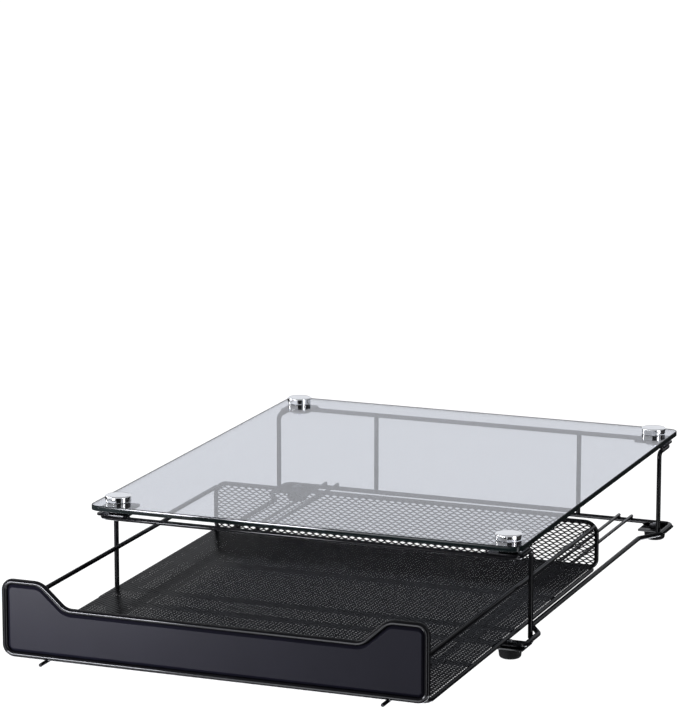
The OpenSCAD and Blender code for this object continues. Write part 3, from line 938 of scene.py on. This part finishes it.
def at_back(y):
    """A place along Y, mirrored in the middle of the glass."""
    return 2 * middle("glass_top").y - y


class POD_OT_stand_wires(bpy.types.Operator):
    """Bends the two arches, the base loop, the guide rails and the rear stop wires"""

    bl_idname = "pod_drawer.stand_wires"
    bl_label = "Stand Wires"

    def execute(self, context):
        size, stand = wires(), stand_measures()
        self.bend_arch("arch_front", "front_arch", at_front, size, stand)
        self.bend_arch("arch_rear", "rear_arch", at_back, size, stand)
        self.bend_base(size, stand)
        rails = (
            "guide_rail_left_outer",
            "guide_rail_left_inner",
            "guide_rail_right_inner",
            "guide_rail_right_outer",
        )
        make_wires("guide_rails", [lengthwise(node) for node in rails], size.guide_wire, "frame", *rails)
        stops = ("stop_wire_left", "stop_wire_right")
        make_wires("stop_wires", [upright(node) for node in stops], size.stand_wire, "frame", *stops)
        return {"FINISHED"}

    def bend_arch(self, name, node, place, size, stand):
        """Two posts and the run between them, which juts out from the posts."""
        half_axis = [
            (stand.post_x, place(stand.post_y), stand.foot_z),
            (stand.post_x, place(stand.post_y), stand.arch_z),
            (stand.post_x, place(stand.arch_y), stand.arch_z),
        ]
        axis = half_axis + [(-x, y, z) for x, y, z in reversed(half_axis)]
        bends = [0, size.post_bend, size.arch_bend, size.arch_bend, size.post_bend, 0]
        make_wires(name, [(axis, bends, False)], size.stand_wire, "frame", node)

    def bend_base(self, size, stand):
        """A loop under the feet's plates, with an ear beside each foot."""
        ear_end = stand.post_y + size.ear_tail
        quarter = [
            (stand.ear_x, stand.bar_y),
            (stand.ear_x, ear_end),
            (stand.side_x, ear_end + size.ear_jog),
        ]
        bends = [size.corner_bend, size.ear_bend, size.ear_bend]
        right = quarter + [(x, at_back(y)) for x, y in reversed(quarter)]
        outline = right + [(-x, y) for x, y in reversed(right)]
        loop = [(x, y, stand.base_z) for x, y in outline]
        make_wires(
            "base_loop",
            [(loop, (bends + bends[::-1]) * 2, True)],
            size.stand_wire,
            "frame",
            "base_crossbar_front",
            "base_crossbar_rear",
            "base_side_left",
            "base_side_right",
        )


class POD_OT_stand_welds(bpy.types.Operator):
    """Adds the weld nuggets of the stand, where its wires and plates meet"""

    bl_idname = "pod_drawer.stand_welds"
    bl_label = "Stand Welds"

    def execute(self, context):
        half, stand = wires().stand_wire / 2, stand_measures()
        across, along = (1, 0, 0), (0, 1, 0)
        spots = []
        for side in (-1, 1):
            beside = side * (stand.post_x + half)
            for place in (at_front, at_back):
                for x in stand.rail_x:
                    spots.append(((side * x, place(stand.bar_y), stand.base_z + half), across))
                spots.append(((beside, place(stand.post_y), stand.base_z), along))
                spots.append(((beside, place(stand.post_y - 0.9 * half), stand.base_z), along))
            spots.append(((side * stand.stop_x, stand.stop_y, stand.base_z + half), across))
            spots.append(((side * stand.stop_x, stand.stop_y, stand.arch_z - half), across))
        for corner in CORNERS:
            side = 1 if "right" in corner else -1
            place = at_front if "front" in corner else at_back
            inner_x, edge_y = self.plate_edges("upper_plate_" + corner)
            spots.append(((side * stand.post_x, edge_y, stand.arch_z + half), along))
            spots.append(((inner_x, place(stand.arch_y), stand.arch_z + half), across))
            inner_x, edge_y = self.plate_edges("foot_plate_" + corner)
            spots.append(((inner_x, place(stand.bar_y), stand.foot_z), across))
            spots.append(((side * stand.ear_x, edge_y, stand.foot_z), along))
        make_welds("stand_welds", spots, "frame")
        return {"FINISHED"}

    def plate_edges(self, plate):
        """The places of a corner plate's inner edges, across and along the stand."""
        lo, hi = BOX[plate]
        return (lo.x if "right" in plate else hi.x), (hi.y if "front" in plate else lo.y)


class POD_OT_glass_top(bpy.types.Operator):
    """Cuts the glass top with its four holes and its polished edge"""

    bl_idname = "pod_drawer.glass_top"
    bl_label = "Glass Top"

    def execute(self, context):
        size = plates()
        lo, hi = BOX["glass_top"]
        outline = footprint("glass_top", size.glass_corner, 12)
        holes = [(x, y, size.glass_hole) for x, y, _ in corner_places("knob_")]
        shape = flat_plate("glass_plate", outline, holes, hi.z - lo.z, size.glass_arris, 3)
        bmesh.ops.translate(shape, verts=shape.verts, vec=(0, 0, lo.z))
        for face in shape.faces:
            face.material_index = 0 if lies_level(face) else 1
        mesh = bpy.data.meshes.new("glass_plate")
        shape.to_mesh(mesh)
        shape.free()
        mesh.materials.append(finish("float_glass"))
        mesh.materials.append(finish("glass_polished_edge"))
        crease(mesh, PLATE_CREASE, lies_level)
        settle(new_piece("glass_plate", mesh), "frame", "clear_glass", "glass_top")
        return {"FINISHED"}


class POD_OT_clamp_knobs(bpy.types.Operator):
    """Turns the chromed knobs with their threaded studs, and the nuts below them"""

    bl_idname = "pod_drawer.clamp_knobs"
    bl_label = "Clamp Knobs"

    def execute(self, context):
        size, fastener = plates(), fasteners()
        lo, hi = BOX["knob_front_right"]
        radius, top = (hi.x - lo.x) / 2, hi.z - lo.z
        glass_low, cap = low("glass_top").z - lo.z, high("glass_top").z - lo.z
        stud, edge, foot, dome = fastener.stud, size.knob_edge, size.knob_foot, size.knob_dome
        shoulder = top - dome
        profile = [(0, 0), (stud - fastener.stud_tip, 0)]
        profile += thread(stud, fastener.stud_tip, glass_low, fastener.stud_pitch, fastener.stud_depth)
        profile += [(stud, glass_low + fastener.stud_depth), (stud, cap)]
        profile += [(radius - foot, cap), (radius - 0.24 * foot, cap + 0.24 * foot), (radius, cap + foot)]
        # Rings close to both edges keep the shading of the side wall level
        profile += [(radius, cap + foot + KNOB_RING), (radius, shoulder - edge - KNOB_RING)]
        profile += arc(radius - edge, shoulder - edge, edge, 0, KNOB_ARC, 6)
        for k in range(1, DOME_RINGS):
            share = 1 - k / DOME_RINGS
            profile.append(((radius - edge) * share, top - KNOB_FALL * dome * share**2))
        profile.append((0, top))
        places = corner_places("knob_")
        make_corner_set(
            "clamp_knobs", turned(profile, 64), places, "knob_chrome",
            1.0, "frame", "chrome", *["knob_" + c for c in CORNERS],
        )
        make_corner_set(
            "stud_nuts", hex_nut("clamp_nuts", fastener.stud_nut, stud),
            at_height(places, low("clamp_nuts").z), "zinc_plate", 1.0, "frame", "plated_steel", "clamp_nuts",
        )
        return {"FINISHED"}


def hex_nut(node, flats, thread_radius):
    """A hexagon nut whose corners are chamfered by a cone, with a chamfered bore."""
    height = high(node).z - low(node).z
    bore, bevel = thread_radius + fasteners().nut_play, fasteners().nut_bevel
    flat = flats / 2
    crown = flat * NUT_CROWN

    def six_sided(ring, angle, radius, z):
        if ring not in (3, 4):
            return radius, z
        part = (angle + math.pi / 6) % (math.pi / 3) - math.pi / 6
        corner = flat / math.cos(part)
        fall = (corner - crown) * math.tan(NUT_SLOPE)
        return corner, (fall if ring == 3 else height - fall)

    profile = [
        (bore, bevel), (bore + bevel, 0), (crown, 0), (flat, 0),
        (flat, height), (crown, height), (bore + bevel, height), (bore, height - bevel),
    ]
    return turned(profile, 72, six_sided)


class POD_OT_gaskets(bpy.types.Operator):
    """Moulds the rubber gaskets between the glass and the plates"""

    bl_idname = "pod_drawer.gaskets"
    bl_label = "Gaskets"

    def execute(self, context):
        size = rubber_parts()
        lo, hi = BOX["gasket_front_right"]
        radius, height = (hi.x - lo.x) / 2, hi.z - lo.z
        bore, lip, waist = size.gasket_bore, size.gasket_lip, radius - size.gasket_waist
        profile = [(bore, 0), (radius - lip, 0)]
        profile += arc(radius - lip, lip, lip, -60, 0, 3)
        profile += [(waist, height * 0.4), (waist, height * 0.6)]
        profile += arc(radius - lip, height - lip, lip, 0, 60, 3)
        profile += [(radius - lip, height), (bore, height)]
        make_corner_set(
            "gaskets", turned(profile, 48), corner_places("gasket_"), "moulded_rubber",
            0.0, "frame", "rubber", *["gasket_" + c for c in CORNERS],
        )
        return {"FINISHED"}


class POD_OT_plates(bpy.types.Operator):
    """Cuts the welded plates under the glass and over the feet"""

    bl_idname = "pod_drawer.plates"
    bl_label = "Welded Plates"

    def execute(self, context):
        size = plates()
        for name, prefix, radius, hole_prefix, hole_radius in (
            ("upper_plates", "upper_plate_", size.plate_corner, "knob_", size.plate_hole),
            ("foot_plates", "foot_plate_", size.foot_plate_corner, "foot_", size.foot_plate_hole),
        ):
            whole = bmesh.new()
            for corner in CORNERS:
                lo, hi = BOX[prefix + corner]
                outline = footprint(prefix + corner, radius, 6)
                hole = middle(hole_prefix + corner)
                holes = [(hole.x, hole.y, hole_radius)]
                shape = flat_plate("plate", outline, holes, hi.z - lo.z, size.plate_edge, 2)
                bmesh.ops.translate(shape, verts=shape.verts, vec=(0, 0, lo.z))
                part = bpy.data.meshes.new("plate")
                shape.to_mesh(part)
                shape.free()
                whole.from_mesh(part)
                bpy.data.meshes.remove(part)
            for face in whole.faces:
                face.material_index = 0
            mesh = bpy.data.meshes.new(name)
            whole.to_mesh(mesh)
            whole.free()
            mesh.materials.append(finish("wire_gloss_coat"))
            crease(mesh, PLATE_CREASE, lies_level)
            settle(new_piece(name, mesh), "frame", "black_wire", *[prefix + c for c in CORNERS])
        return {"FINISHED"}


class POD_OT_feet(bpy.types.Operator):
    """Moulds the rubber feet, with their screws and nuts"""

    bl_idname = "pod_drawer.feet"
    bl_label = "Feet"

    def execute(self, context):
        places = corner_places("foot_")
        make_corner_set(
            "rubber_feet", self.foot(), places, "moulded_rubber",
            0.0, "frame", "rubber", *["foot_" + c for c in CORNERS],
        )
        make_corner_set(
            "foot_screw_set", self.screw(), at_height(places, low("foot_screws").z), "zinc_dull",
            1.0, "frame", "plated_steel", "foot_screws",
        )
        make_corner_set(
            "foot_nut_set", hex_nut("foot_nuts", fasteners().screw_nut, fasteners().screw),
            at_height(places, low("foot_nuts").z), "zinc_dull", 1.0, "frame", "plated_steel", "foot_nuts",
        )
        return {"FINISHED"}

    def foot(self):
        """A foot that widens upwards, with a recess for the screw head."""
        size = rubber_parts()
        lo, hi = BOX["foot_front_right"]
        top, height = (hi.x - lo.x) / 2, hi.z - lo.z
        base, edge, bore, recess = size.foot_base, size.foot_edge, size.foot_bore, size.foot_recess
        profile = [(bore, height), (bore, size.recess_height), (recess, size.recess_height)]
        profile += [(recess, 0.3 * MM), (recess + 0.3 * MM, 0)]
        profile += arc(base - edge, edge, edge, -90, 0, 8)
        for share in (0.25, 0.5, 0.75):
            profile.append((base + (top - base) * share, edge + (height - edge - 0.5 * MM) * share))
        profile += [(top, height - 0.55 * MM), (top - 0.1 * MM, height - 0.15 * MM), (top - 0.4 * MM, height)]
        return turned(profile, 64)

    def screw(self):
        """A screw whose head has a cross recess, standing on its head."""
        size = fasteners()
        height = high("foot_screws").z - low("foot_screws").z
        head, head_height, shank = size.head_radius, size.head_height, size.screw

        def cross(ring, angle, radius, z):
            if ring not in (1, 2):
                return radius, z
            part = (angle + math.pi / 4) % (math.pi / 2) - math.pi / 4
            reach = min(size.cross_arm / math.cos(part), size.cross_half / max(1e-6, abs(math.sin(part))))
            return reach * (0.55 if ring == 1 else 1.0), z

        # The cross, the rounded head, the thread and its tip
        profile = [(0, 1.3 * MM), (0.4 * MM, 1.25 * MM), (1.0 * MM, 0)]
        profile += [(head - 1.0 * MM, 0.02 * MM), (head - 0.35 * MM, 0.28 * MM), (head, 1.0 * MM)]
        profile += [(head, head_height), (shank, head_height)]
        thread_end = height - 0.4 * MM
        profile += thread(shank, head_height + 0.4 * MM, thread_end, size.screw_pitch, size.screw_depth)
        profile += [(shank - 0.5 * MM, height), (0, height)]
        return turned(profile, 72, cross)


# ---- The tray --------------------------------------------------------------


def front_outline():
    """Axis of the front wire, anticlockwise as seen from the front, with its bend radii."""
    size = wires()
    half = size.front_wire / 2
    lo, hi = BOX["front_rim"]
    x, z0, z1 = hi.x - half, lo.z + half, hi.z - half - COLLAR
    notch_x = hi.x - size.notch_inset
    slope_x, notch_z = notch_x - size.notch_slope, z1 - size.notch_depth
    right = [Vector((x, z0)), Vector((x, z1)), Vector((notch_x, z1)), Vector((slope_x, notch_z))]
    left = [Vector((-p.x, p.y)) for p in reversed(right)]
    bends = [size.front_bend, size.front_bend, size.notch_bend, size.notch_bend]
    return right + left, bends + bends[::-1]


class POD_OT_tray_wires(bpy.types.Operator):
    """Bends the wires of the tray: front, floor, sides, back and runners"""

    bl_idname = "pod_drawer.tray_wires"
    bl_label = "Tray Wires"

    def execute(self, context):
        size = wires()
        outline, bends = front_outline()
        rim_y = middle("front_rim").y
        axis = [(p.x, rim_y, p.y) for p in outline]
        make_wires("tray_front_wire", [(axis, bends, True)], size.front_wire, "tray", "front_rim")

        half = size.tray_wire / 2
        lo, hi = BOX["floor_loop"]
        z = (lo.z + hi.z) / 2
        loop = [
            (lo.x + half, lo.y + half, z), (hi.x - half, lo.y + half, z),
            (hi.x - half, hi.y - half, z), (lo.x + half, hi.y - half, z),
        ]
        left, right = low("floor_cross_wires").x, high("floor_cross_wires").x
        paths = [(loop, [size.floor_bend] * 4, True)]
        paths += [straight((left, y, z), (right, y, z)) for y in cross_wire_places()]
        make_wires("tray_floor_wires", paths, size.tray_wire, "tray", "floor_loop", "floor_cross_wires")

        rails = ("side_rail_left", "side_rail_right")
        make_wires("tray_side_rails", [lengthwise(node) for node in rails], size.tray_wire, "tray", *rails)

        lo, hi = BOX["back_rim"]
        y = (lo.y + hi.y) / 2
        loop = [
            (lo.x + half, y, lo.z + half), (hi.x - half, y, lo.z + half),
            (hi.x - half, y, hi.z - half), (lo.x + half, y, hi.z - half),
        ]
        bends = [size.back_low_bend] * 2 + [size.back_high_bend] * 2
        make_wires("tray_back_wire", [(loop, bends, True)], size.tray_wire, "tray", "back_rim")

        runners = ("runner_left", "runner_right")
        paths = [self.runner(node, size) for node in runners]
        make_wires("tray_runners", paths, size.guide_wire, "tray", *runners)
        return {"FINISHED"}

    def runner(self, node, size):
        """A straight wire that ends at the rear in a stop hook bent down."""
        lo, hi = BOX[node]
        half = size.guide_wire / 2
        x, rear, z = (lo.x + hi.x) / 2, hi.y - half, hi.z - half
        return ([(x, lo.y, z), (x, rear, z), (x, rear, lo.z)], [0, size.hook_bend, 0], False)


def cross_wire_places():
    """Where the cross wires lie along Y, evenly between the floor wire's front and rear."""
    half = wires().tray_wire / 2
    front, rear = low("floor_loop").y + half, high("floor_loop").y - half
    first = low("floor_cross_wires").y + half
    count = round((rear - front) / (first - front)) - 1
    return [front + (rear - front) * (i + 1) / (count + 1) for i in range(count)]


class POD_OT_tray_welds(bpy.types.Operator):
    """Adds the weld nuggets of the tray, where its wires meet"""

    bl_idname = "pod_drawer.tray_welds"
    bl_label = "Tray Welds"

    def execute(self, context):
        half = wires().tray_wire / 2
        across, along, up = (1, 0, 0), (0, 1, 0), (0, 0, 1)
        lo, hi = BOX["floor_loop"]
        z = (lo.z + hi.z) / 2
        rim_y, back_y = high("front_rim").y, low("back_rim").y
        front_y, front_z = (lo.y + rim_y) / 2, lo.z + 1.6 * half
        rail, runner_x = middle("side_rail_right"), middle("runner_right").x
        # Places along X of the welds between the floor wire and the front and back wires
        inner, front_outer, back_outer = 60 * MM, hi.x - 12 * MM, hi.x - 14 * MM
        spots = []
        for side in (-1, 1):
            for y in cross_wire_places():
                spots.append(((side * (hi.x - 2 * half), y, z), along))
            for y in [lo.y + half] + cross_wire_places() + [hi.y - half]:
                spots.append(((side * runner_x, y, z - half), along))
            spots.append(((side * rail.x, rim_y, rail.z), up))
            spots.append(((side * rail.x, back_y, rail.z), (1, 0, -1)))
            spots.append(((side * front_outer, front_y, front_z), across))
            spots.append(((side * inner, front_y, front_z), across))
            spots.append(((side * back_outer, hi.y, z), across))
            spots.append(((side * inner, hi.y, z), across))
        make_welds("tray_welds", spots, "tray")
        return {"FINISHED"}


class POD_OT_tray_front(bpy.types.Operator):
    """Presses the front sheet, whose border curves back to the wire round it"""

    bl_idname = "pod_drawer.tray_front"
    bl_label = "Tray Front"

    def execute(self, context):
        steps = [k / (SHEET_STEPS - 1) for k in range(SHEET_STEPS)]
        front = [self.sheet_ring(step, 0.0) for step in steps]
        rear = [self.sheet_ring(step, plates().sheet) for step in steps]
        shape = bmesh.new()
        made = [[shape.verts.new(point) for point in ring] for ring in front[::-1] + rear]
        count = len(made[0])
        for a, b in zip(made, made[1:]):
            for k in range(count):
                n = (k + 1) % count
                shape.faces.new((a[k], a[n], b[n], b[k]))
        shape.faces.new(made[0])
        shape.faces.new(made[-1])
        bmesh.ops.recalc_face_normals(shape, faces=shape.faces)
        faces = [face for face in shape.faces if len(face.verts) > 4]
        bmesh.ops.triangulate(shape, faces=faces, ngon_method="EAR_CLIP")
        mesh = bpy.data.meshes.new("tray_front_sheet")
        shape.to_mesh(mesh)
        shape.free()
        mesh.materials.append(finish("sheet_satin_coat"))
        crease(mesh, SHEET_CREASE, lambda face: len(face.vertices) == 3)
        settle(new_piece("tray_front_sheet", mesh), "tray", "sheet_metal", "front_panel")
        return {"FINISHED"}

    def sheet_ring(self, step, depth):
        """A ring of the sheet's border, from the wire at step 0 to the flat face at step 1."""
        size = plates()
        outline, bends = front_outline()
        half = wires().front_wire / 2
        share = math.sin(step * math.pi / 2)
        inwards = half - size.sheet_overlap + share * size.shoulder_width
        # Straight and steep beside the wire, rounded where it meets the sheet's face
        rise = math.hypot(1 - share, size.shoulder_ease) - size.shoulder_ease
        y = middle("front_rim").y + size.face_setback - half + size.shoulder_depth * rise + depth
        radii = [
            bend + inwards if i in NOTCH_FLOOR else max(size.sheet_corner, bend - inwards)
            for i, bend in enumerate(bends)
        ]
        return [Vector((p.x, y, p.y)) for p in rounded_outline(inset_outline(outline, inwards), radii, 10)]


def expanded_metal_tree(name):
    """One strand for each cell of a grid, sloping up or down by turns, so that they enclose diamonds."""
    tree, sizes = new_modifier_tree(
        name,
        [
            ("Columns", "NodeSocketInt", 10),
            ("Rows", "NodeSocketInt", 10),
            ("Cell Length", "NodeSocketFloat", 0.003),
            ("Cell Width", "NodeSocketFloat", 0.002),
            ("Strand Width", "NodeSocketFloat", 0.001),
            ("Strand Thickness", "NodeSocketFloat", 0.0005),
            ("Bond", "NodeSocketFloat", 0.0004),
            ("Twist", "NodeSocketFloat", 0.4),
            ("Sheet Length", "NodeSocketFloat", 0.3),
            ("Sheet Width", "NodeSocketFloat", 0.3),
            ("Corner Radius", "NodeSocketFloat", 0.006),
            ("Edge Gap", "NodeSocketFloat", 0.001),
            ("Material", "NodeSocketMaterial", None),
        ],
    )
    columns, rows = sizes["Columns"], sizes["Rows"]
    grid = add_node(
        tree,
        "GeometryNodeMeshGrid",
        {
            "Size X": add_math(tree, "MULTIPLY", columns, sizes["Cell Length"]),
            "Size Y": add_math(tree, "MULTIPLY", rows, sizes["Cell Width"]),
            "Vertices X": add_math(tree, "ADD", columns, 1),
            "Vertices Y": add_math(tree, "ADD", rows, 1),
        },
    )
    cells = add_node(tree, "GeometryNodeMeshToPoints", {"Mesh": grid.outputs[0]}, mode="FACES")
    place = tree.nodes.new("GeometryNodeInputPosition").outputs[0]
    # Distance of a cell outside the sheet's rounded outline
    half_length = add_math(tree, "MULTIPLY", sizes["Sheet Length"], 0.5)
    half_width = add_math(tree, "MULTIPLY", sizes["Sheet Width"], 0.5)
    straight_part = add_node(
        tree,
        "ShaderNodeCombineXYZ",
        {
            "X": add_math(tree, "SUBTRACT", half_length, sizes["Corner Radius"]),
            "Y": add_math(tree, "SUBTRACT", half_width, sizes["Corner Radius"]),
        },
    )
    mirrored = add_vector(tree, "ABSOLUTE", place)
    beyond = add_vector(tree, "SUBTRACT", mirrored.outputs[0], straight_part.outputs[0])
    outer = add_vector(tree, "MAXIMUM", beyond.outputs[0], (0, 0, 0))
    reach = add_vector(tree, "LENGTH", outer.outputs[0])
    limit = add_math(tree, "SUBTRACT", sizes["Corner Radius"], sizes["Edge Gap"])
    outside = add_node(
        tree,
        "FunctionNodeCompare",
        {0: reach.outputs["Value"], 1: limit},
        data_type="FLOAT",
        operation="GREATER_THAN",
    )
    kept = add_node(
        tree,
        "GeometryNodeDeleteGeometry",
        {"Geometry": cells.outputs[0], "Selection": outside.outputs[0]},
        domain="POINT",
    )
    # A cell slopes up where its column and row numbers add to an even number
    parts = add_node(tree, "ShaderNodeSeparateXYZ", {0: place})
    column = add_math(tree, "FLOOR", add_math(tree, "DIVIDE", parts.outputs[0], sizes["Cell Length"]))
    row = add_math(tree, "FLOOR", add_math(tree, "DIVIDE", parts.outputs[1], sizes["Cell Width"]))
    odd = add_math(tree, "FLOORED_MODULO", add_math(tree, "ADD", column, row), 2.0)
    sign = add_math(tree, "SUBTRACT", 1.0, add_math(tree, "MULTIPLY", odd, 2.0))
    rise = add_math(tree, "SUBTRACT", sizes["Cell Width"], add_math(tree, "MULTIPLY", sizes["Bond"], 2.0))
    slope = add_math(tree, "ARCTAN2", rise, sizes["Cell Length"])
    lean = add_math(tree, "MULTIPLY", sign, slope)
    turn = add_node(tree, "ShaderNodeCombineXYZ", {"X": sizes["Twist"], "Z": lean})
    spin = add_node(tree, "FunctionNodeEulerToRotation", {"Euler": turn.outputs[0]})
    squares = add_math(
        tree,
        "ADD",
        add_math(tree, "MULTIPLY", rise, rise),
        add_math(tree, "MULTIPLY", sizes["Cell Length"], sizes["Cell Length"]),
    )
    span = add_math(tree, "MULTIPLY", add_math(tree, "SQRT", squares), STRAND_REACH)
    bar = {"X": span, "Y": sizes["Strand Width"], "Z": sizes["Strand Thickness"]}
    extent = add_node(tree, "ShaderNodeCombineXYZ", bar)
    strand = add_node(tree, "GeometryNodeMeshCube", {"Size": extent.outputs[0]})
    strands = add_node(
        tree,
        "GeometryNodeInstanceOnPoints",
        {"Points": kept.outputs[0], "Instance": strand.outputs[0], "Rotation": spin.outputs[0]},
    )
    close_tree(tree, strands.outputs[0], sizes["Material"], smooth=False)
    return tree


def expanded_metal(name, width, depth, pitch, corner, gap, place):
    """A sheet of expanded metal, with its diamonds long across, put in place by a matrix."""
    size = meshwork()
    tree = tree_named("expanded metal", expanded_metal_tree)
    piece = new_piece(name, bpy.data.meshes.new(name))
    shaped(
        piece,
        tree,
        {
            "Columns": 2 * math.ceil(width / size.long_pitch),
            "Rows": 2 * math.ceil(depth / pitch - SAME_COUNT),
            "Cell Length": size.long_pitch / 2,
            "Cell Width": pitch / 2,
            "Strand Width": size.strand_width,
            "Strand Thickness": size.strand_thickness,
            "Bond": size.bond,
            "Twist": size.twist,
            "Sheet Length": width,
            "Sheet Width": depth,
            "Corner Radius": corner,
            "Edge Gap": gap,
            "Material": finish("mesh_coat"),
        },
    )
    piece.data.transform(place)
    return piece


class POD_OT_tray_mesh(bpy.types.Operator):
    """Lays the expanded metal on the tray's floor and in its back"""

    bl_idname = "pod_drawer.tray_mesh"
    bl_label = "Tray Mesh"

    def execute(self, context):
        size, wire = meshwork(), wires()
        lo, hi = BOX["floor_mesh"]
        z = (lo.z + hi.z) / 2
        # Both pieces of the floor share one grid, because each is a whole number of diamonds long
        count = round((hi.y - lo.y) / size.short_pitch)
        pitch = (hi.y - lo.y) / count
        joint = lo.y + pitch * (count // 2)
        for name, start, end in (("front", lo.y, joint), ("rear", joint, hi.y)):
            place = Matrix.Translation((0, (start + end) / 2, z))
            piece = expanded_metal(
                "tray_floor_mesh_" + name, hi.x - lo.x, end - start, pitch,
                size.floor_corner, size.floor_gap, place,
            )
            settle(piece, "tray", "black_mesh", *(["floor_mesh"] if name == "front" else []))
        lo, hi = BOX["back_rim"]
        place = Matrix.Translation((lo + hi) / 2) @ Matrix.Rotation(math.radians(90), 4, "X")
        piece = expanded_metal(
            "tray_back_mesh", hi.x - lo.x - wire.tray_wire, hi.z - lo.z - wire.tray_wire, size.short_pitch,
            wire.back_high_bend, size.back_gap, place,
        )
        settle(piece, "tray", "black_mesh", "back_mesh")
        return {"FINISHED"}


# ---- The stage -------------------------------------------------------------


class POD_OT_stage(bpy.types.Operator):
    """Sets the floor, the soft studio light and the camera"""

    bl_idname = "pod_drawer.stage"
    bl_label = "Stage"

    def execute(self, context):
        scene, look = context.scene, finishes()
        scene.view_settings.view_transform = "Standard"
        scene.camera = self.camera(scene)
        floor = self.floor(look)
        # Gloss that mirrored the floor or the large light would turn the black wires grey
        floor.visible_glossy = False
        lamps = {name: self.light(scene, name, *form, getattr(look, power)) for name, *form, power in LIGHTS}
        lamps["key_light"].visible_glossy = False
        lamps["fill_light"].data.color = FILL_COLOUR
        self.sky(scene, look.sky)
        return {"FINISHED"}

    def aimed(self, scene, name, data, place, target):
        """A new object that looks from its place at its target."""
        holder = bpy.data.objects.new(name, data)
        holder.location = place
        holder.rotation_euler = (Vector(target) - holder.location).to_track_quat("-Z", "Y").to_euler()
        scene.collection.objects.link(holder)
        return holder

    def camera(self, scene):
        camera = bpy.data.cameras.new("camera")
        camera.sensor_width, camera.lens = SENSOR, LENS
        camera.clip_start, camera.clip_end = NEAREST, FARTHEST
        return self.aimed(scene, "camera", camera, CAMERA_PLACE, CAMERA_AIM)

    def floor(self, look):
        mesh = bpy.data.meshes.new("studio_floor")
        corners = [(x * FLOOR_REACH, y * FLOOR_REACH, 0) for x, y in ((-1, -1), (1, -1), (1, 1), (-1, 1))]
        mesh.from_pydata(corners, [], [(0, 1, 2, 3)])
        material = finish("studio_floor")
        shader = material.node_tree.nodes["Principled BSDF"]
        shader.inputs["Emission Strength"].default_value = look.floor_glow
        mesh.materials.append(material)
        return new_piece("studio_floor", mesh)

    def light(self, scene, name, place, target, extent, power):
        lamp = bpy.data.lights.new(name, "AREA")
        lamp.shape = "RECTANGLE"
        lamp.size, lamp.size_y = extent
        lamp.energy = power
        holder = self.aimed(scene, name, lamp, place, target)
        holder.visible_camera = False
        return holder

    def sky(self, scene, power):
        """The light from all round: dim and bright bands by height, with the panels set into them."""
        world = bpy.data.worlds.new("studio_sky")
        scene.world = world
        world.use_nodes = True
        tree = world.node_tree
        back = tree.nodes["Background"]
        back.inputs["Strength"].default_value = power
        direction = add_node(tree, "ShaderNodeTexCoord").outputs["Generated"]
        parts = add_node(tree, "ShaderNodeSeparateXYZ", {0: direction}).outputs
        turn = add_math(tree, "ADD", add_math(tree, "ARCTAN2", parts["Y"], parts["X"]), VIEW_TURN)
        around = add_math(tree, "FRACT", add_math(tree, "DIVIDE", turn, 2 * math.pi))
        height = add_math(tree, "MULTIPLY_ADD", parts["Z"], 0.5, 0.5)
        colour = self.tones(tree, height, HEIGHTS, "LINEAR")
        for band, panels in ((LOW_BAND, LOW_PANELS), (HIGH_BAND, HIGH_PANELS)):
            above = add_math(tree, "GREATER_THAN", parts["Z"], band[0])
            below = add_math(tree, "LESS_THAN", parts["Z"], band[1])
            within = add_math(tree, "MULTIPLY", above, below)
            panels = self.tones(tree, around, panels, "CONSTANT")
            mix = add_node(
                tree, "ShaderNodeMix", {"Factor": within, 6: colour, 7: panels}, data_type="RGBA"
            )
            colour = mix.outputs[2]
        tree.links.new(colour, back.inputs["Color"])

    def tones(self, tree, factor, stops, interpolation):
        """A ramp of greys, which SKY_TINT turns a little blue."""
        ramp = tree.nodes.new("ShaderNodeValToRGB")
        ramp.color_ramp.interpolation = interpolation
        elements = ramp.color_ramp.elements
        while len(elements) < len(stops):
            elements.new(0.5)
        for element, (position, grey) in zip(elements, stops):
            element.position, element.color = position, (*[grey * part for part in SKY_TINT], 1)
        tree.links.new(factor, ramp.inputs[0])
        return ramp.outputs[0]


# ---- The add-on ------------------------------------------------------------

STEPS = (
    POD_OT_stage,
    POD_OT_stand_wires,
    POD_OT_stand_welds,
    POD_OT_glass_top,
    POD_OT_clamp_knobs,
    POD_OT_gaskets,
    POD_OT_plates,
    POD_OT_feet,
    POD_OT_tray_wires,
    POD_OT_tray_welds,
    POD_OT_tray_front,
    POD_OT_tray_mesh,
)
GROUPS = (
    ("pod_drawer_wires", WireSizes),
    ("pod_drawer_mesh", MeshSizes),
    ("pod_drawer_plates", PlateSizes),
    ("pod_drawer_fasteners", FastenerSizes),
    ("pod_drawer_rubber", RubberSizes),
    ("pod_drawer_finishes", Finishes),
)


class POD_PT_drawer(bpy.types.Panel):
    """Lists the drawer's parts in the sidebar"""

    bl_idname = "POD_PT_drawer"
    bl_label = "Coffee Pod Drawer"
    bl_space_type = "VIEW_3D"
    bl_region_type = "UI"
    bl_category = "Pod Drawer"

    def draw(self, context):
        column = self.layout.column(align=True)
        for step in STEPS:
            column.operator(step.bl_idname)
        for name, _ in GROUPS:
            group = getattr(context.scene, name)
            box = self.layout.box()
            for key in group.__annotations__:
                box.prop(group, key)


def register():
    for name, group in GROUPS:
        bpy.utils.register_class(group)
        setattr(bpy.types.Scene, name, PointerProperty(type=group))
    for step in STEPS:
        bpy.utils.register_class(step)
    bpy.utils.register_class(POD_PT_drawer)


def unregister():
    bpy.utils.unregister_class(POD_PT_drawer)
    for step in reversed(STEPS):
        bpy.utils.unregister_class(step)
    for name, group in reversed(GROUPS):
        delattr(bpy.types.Scene, name)
        bpy.utils.unregister_class(group)


def main():
    register()
    for step in STEPS:
        area, name = step.bl_idname.split(".")
        getattr(getattr(bpy.ops, area), name)()
    bpy.context.view_layer.update()


if __name__ == "__main__":
    main()
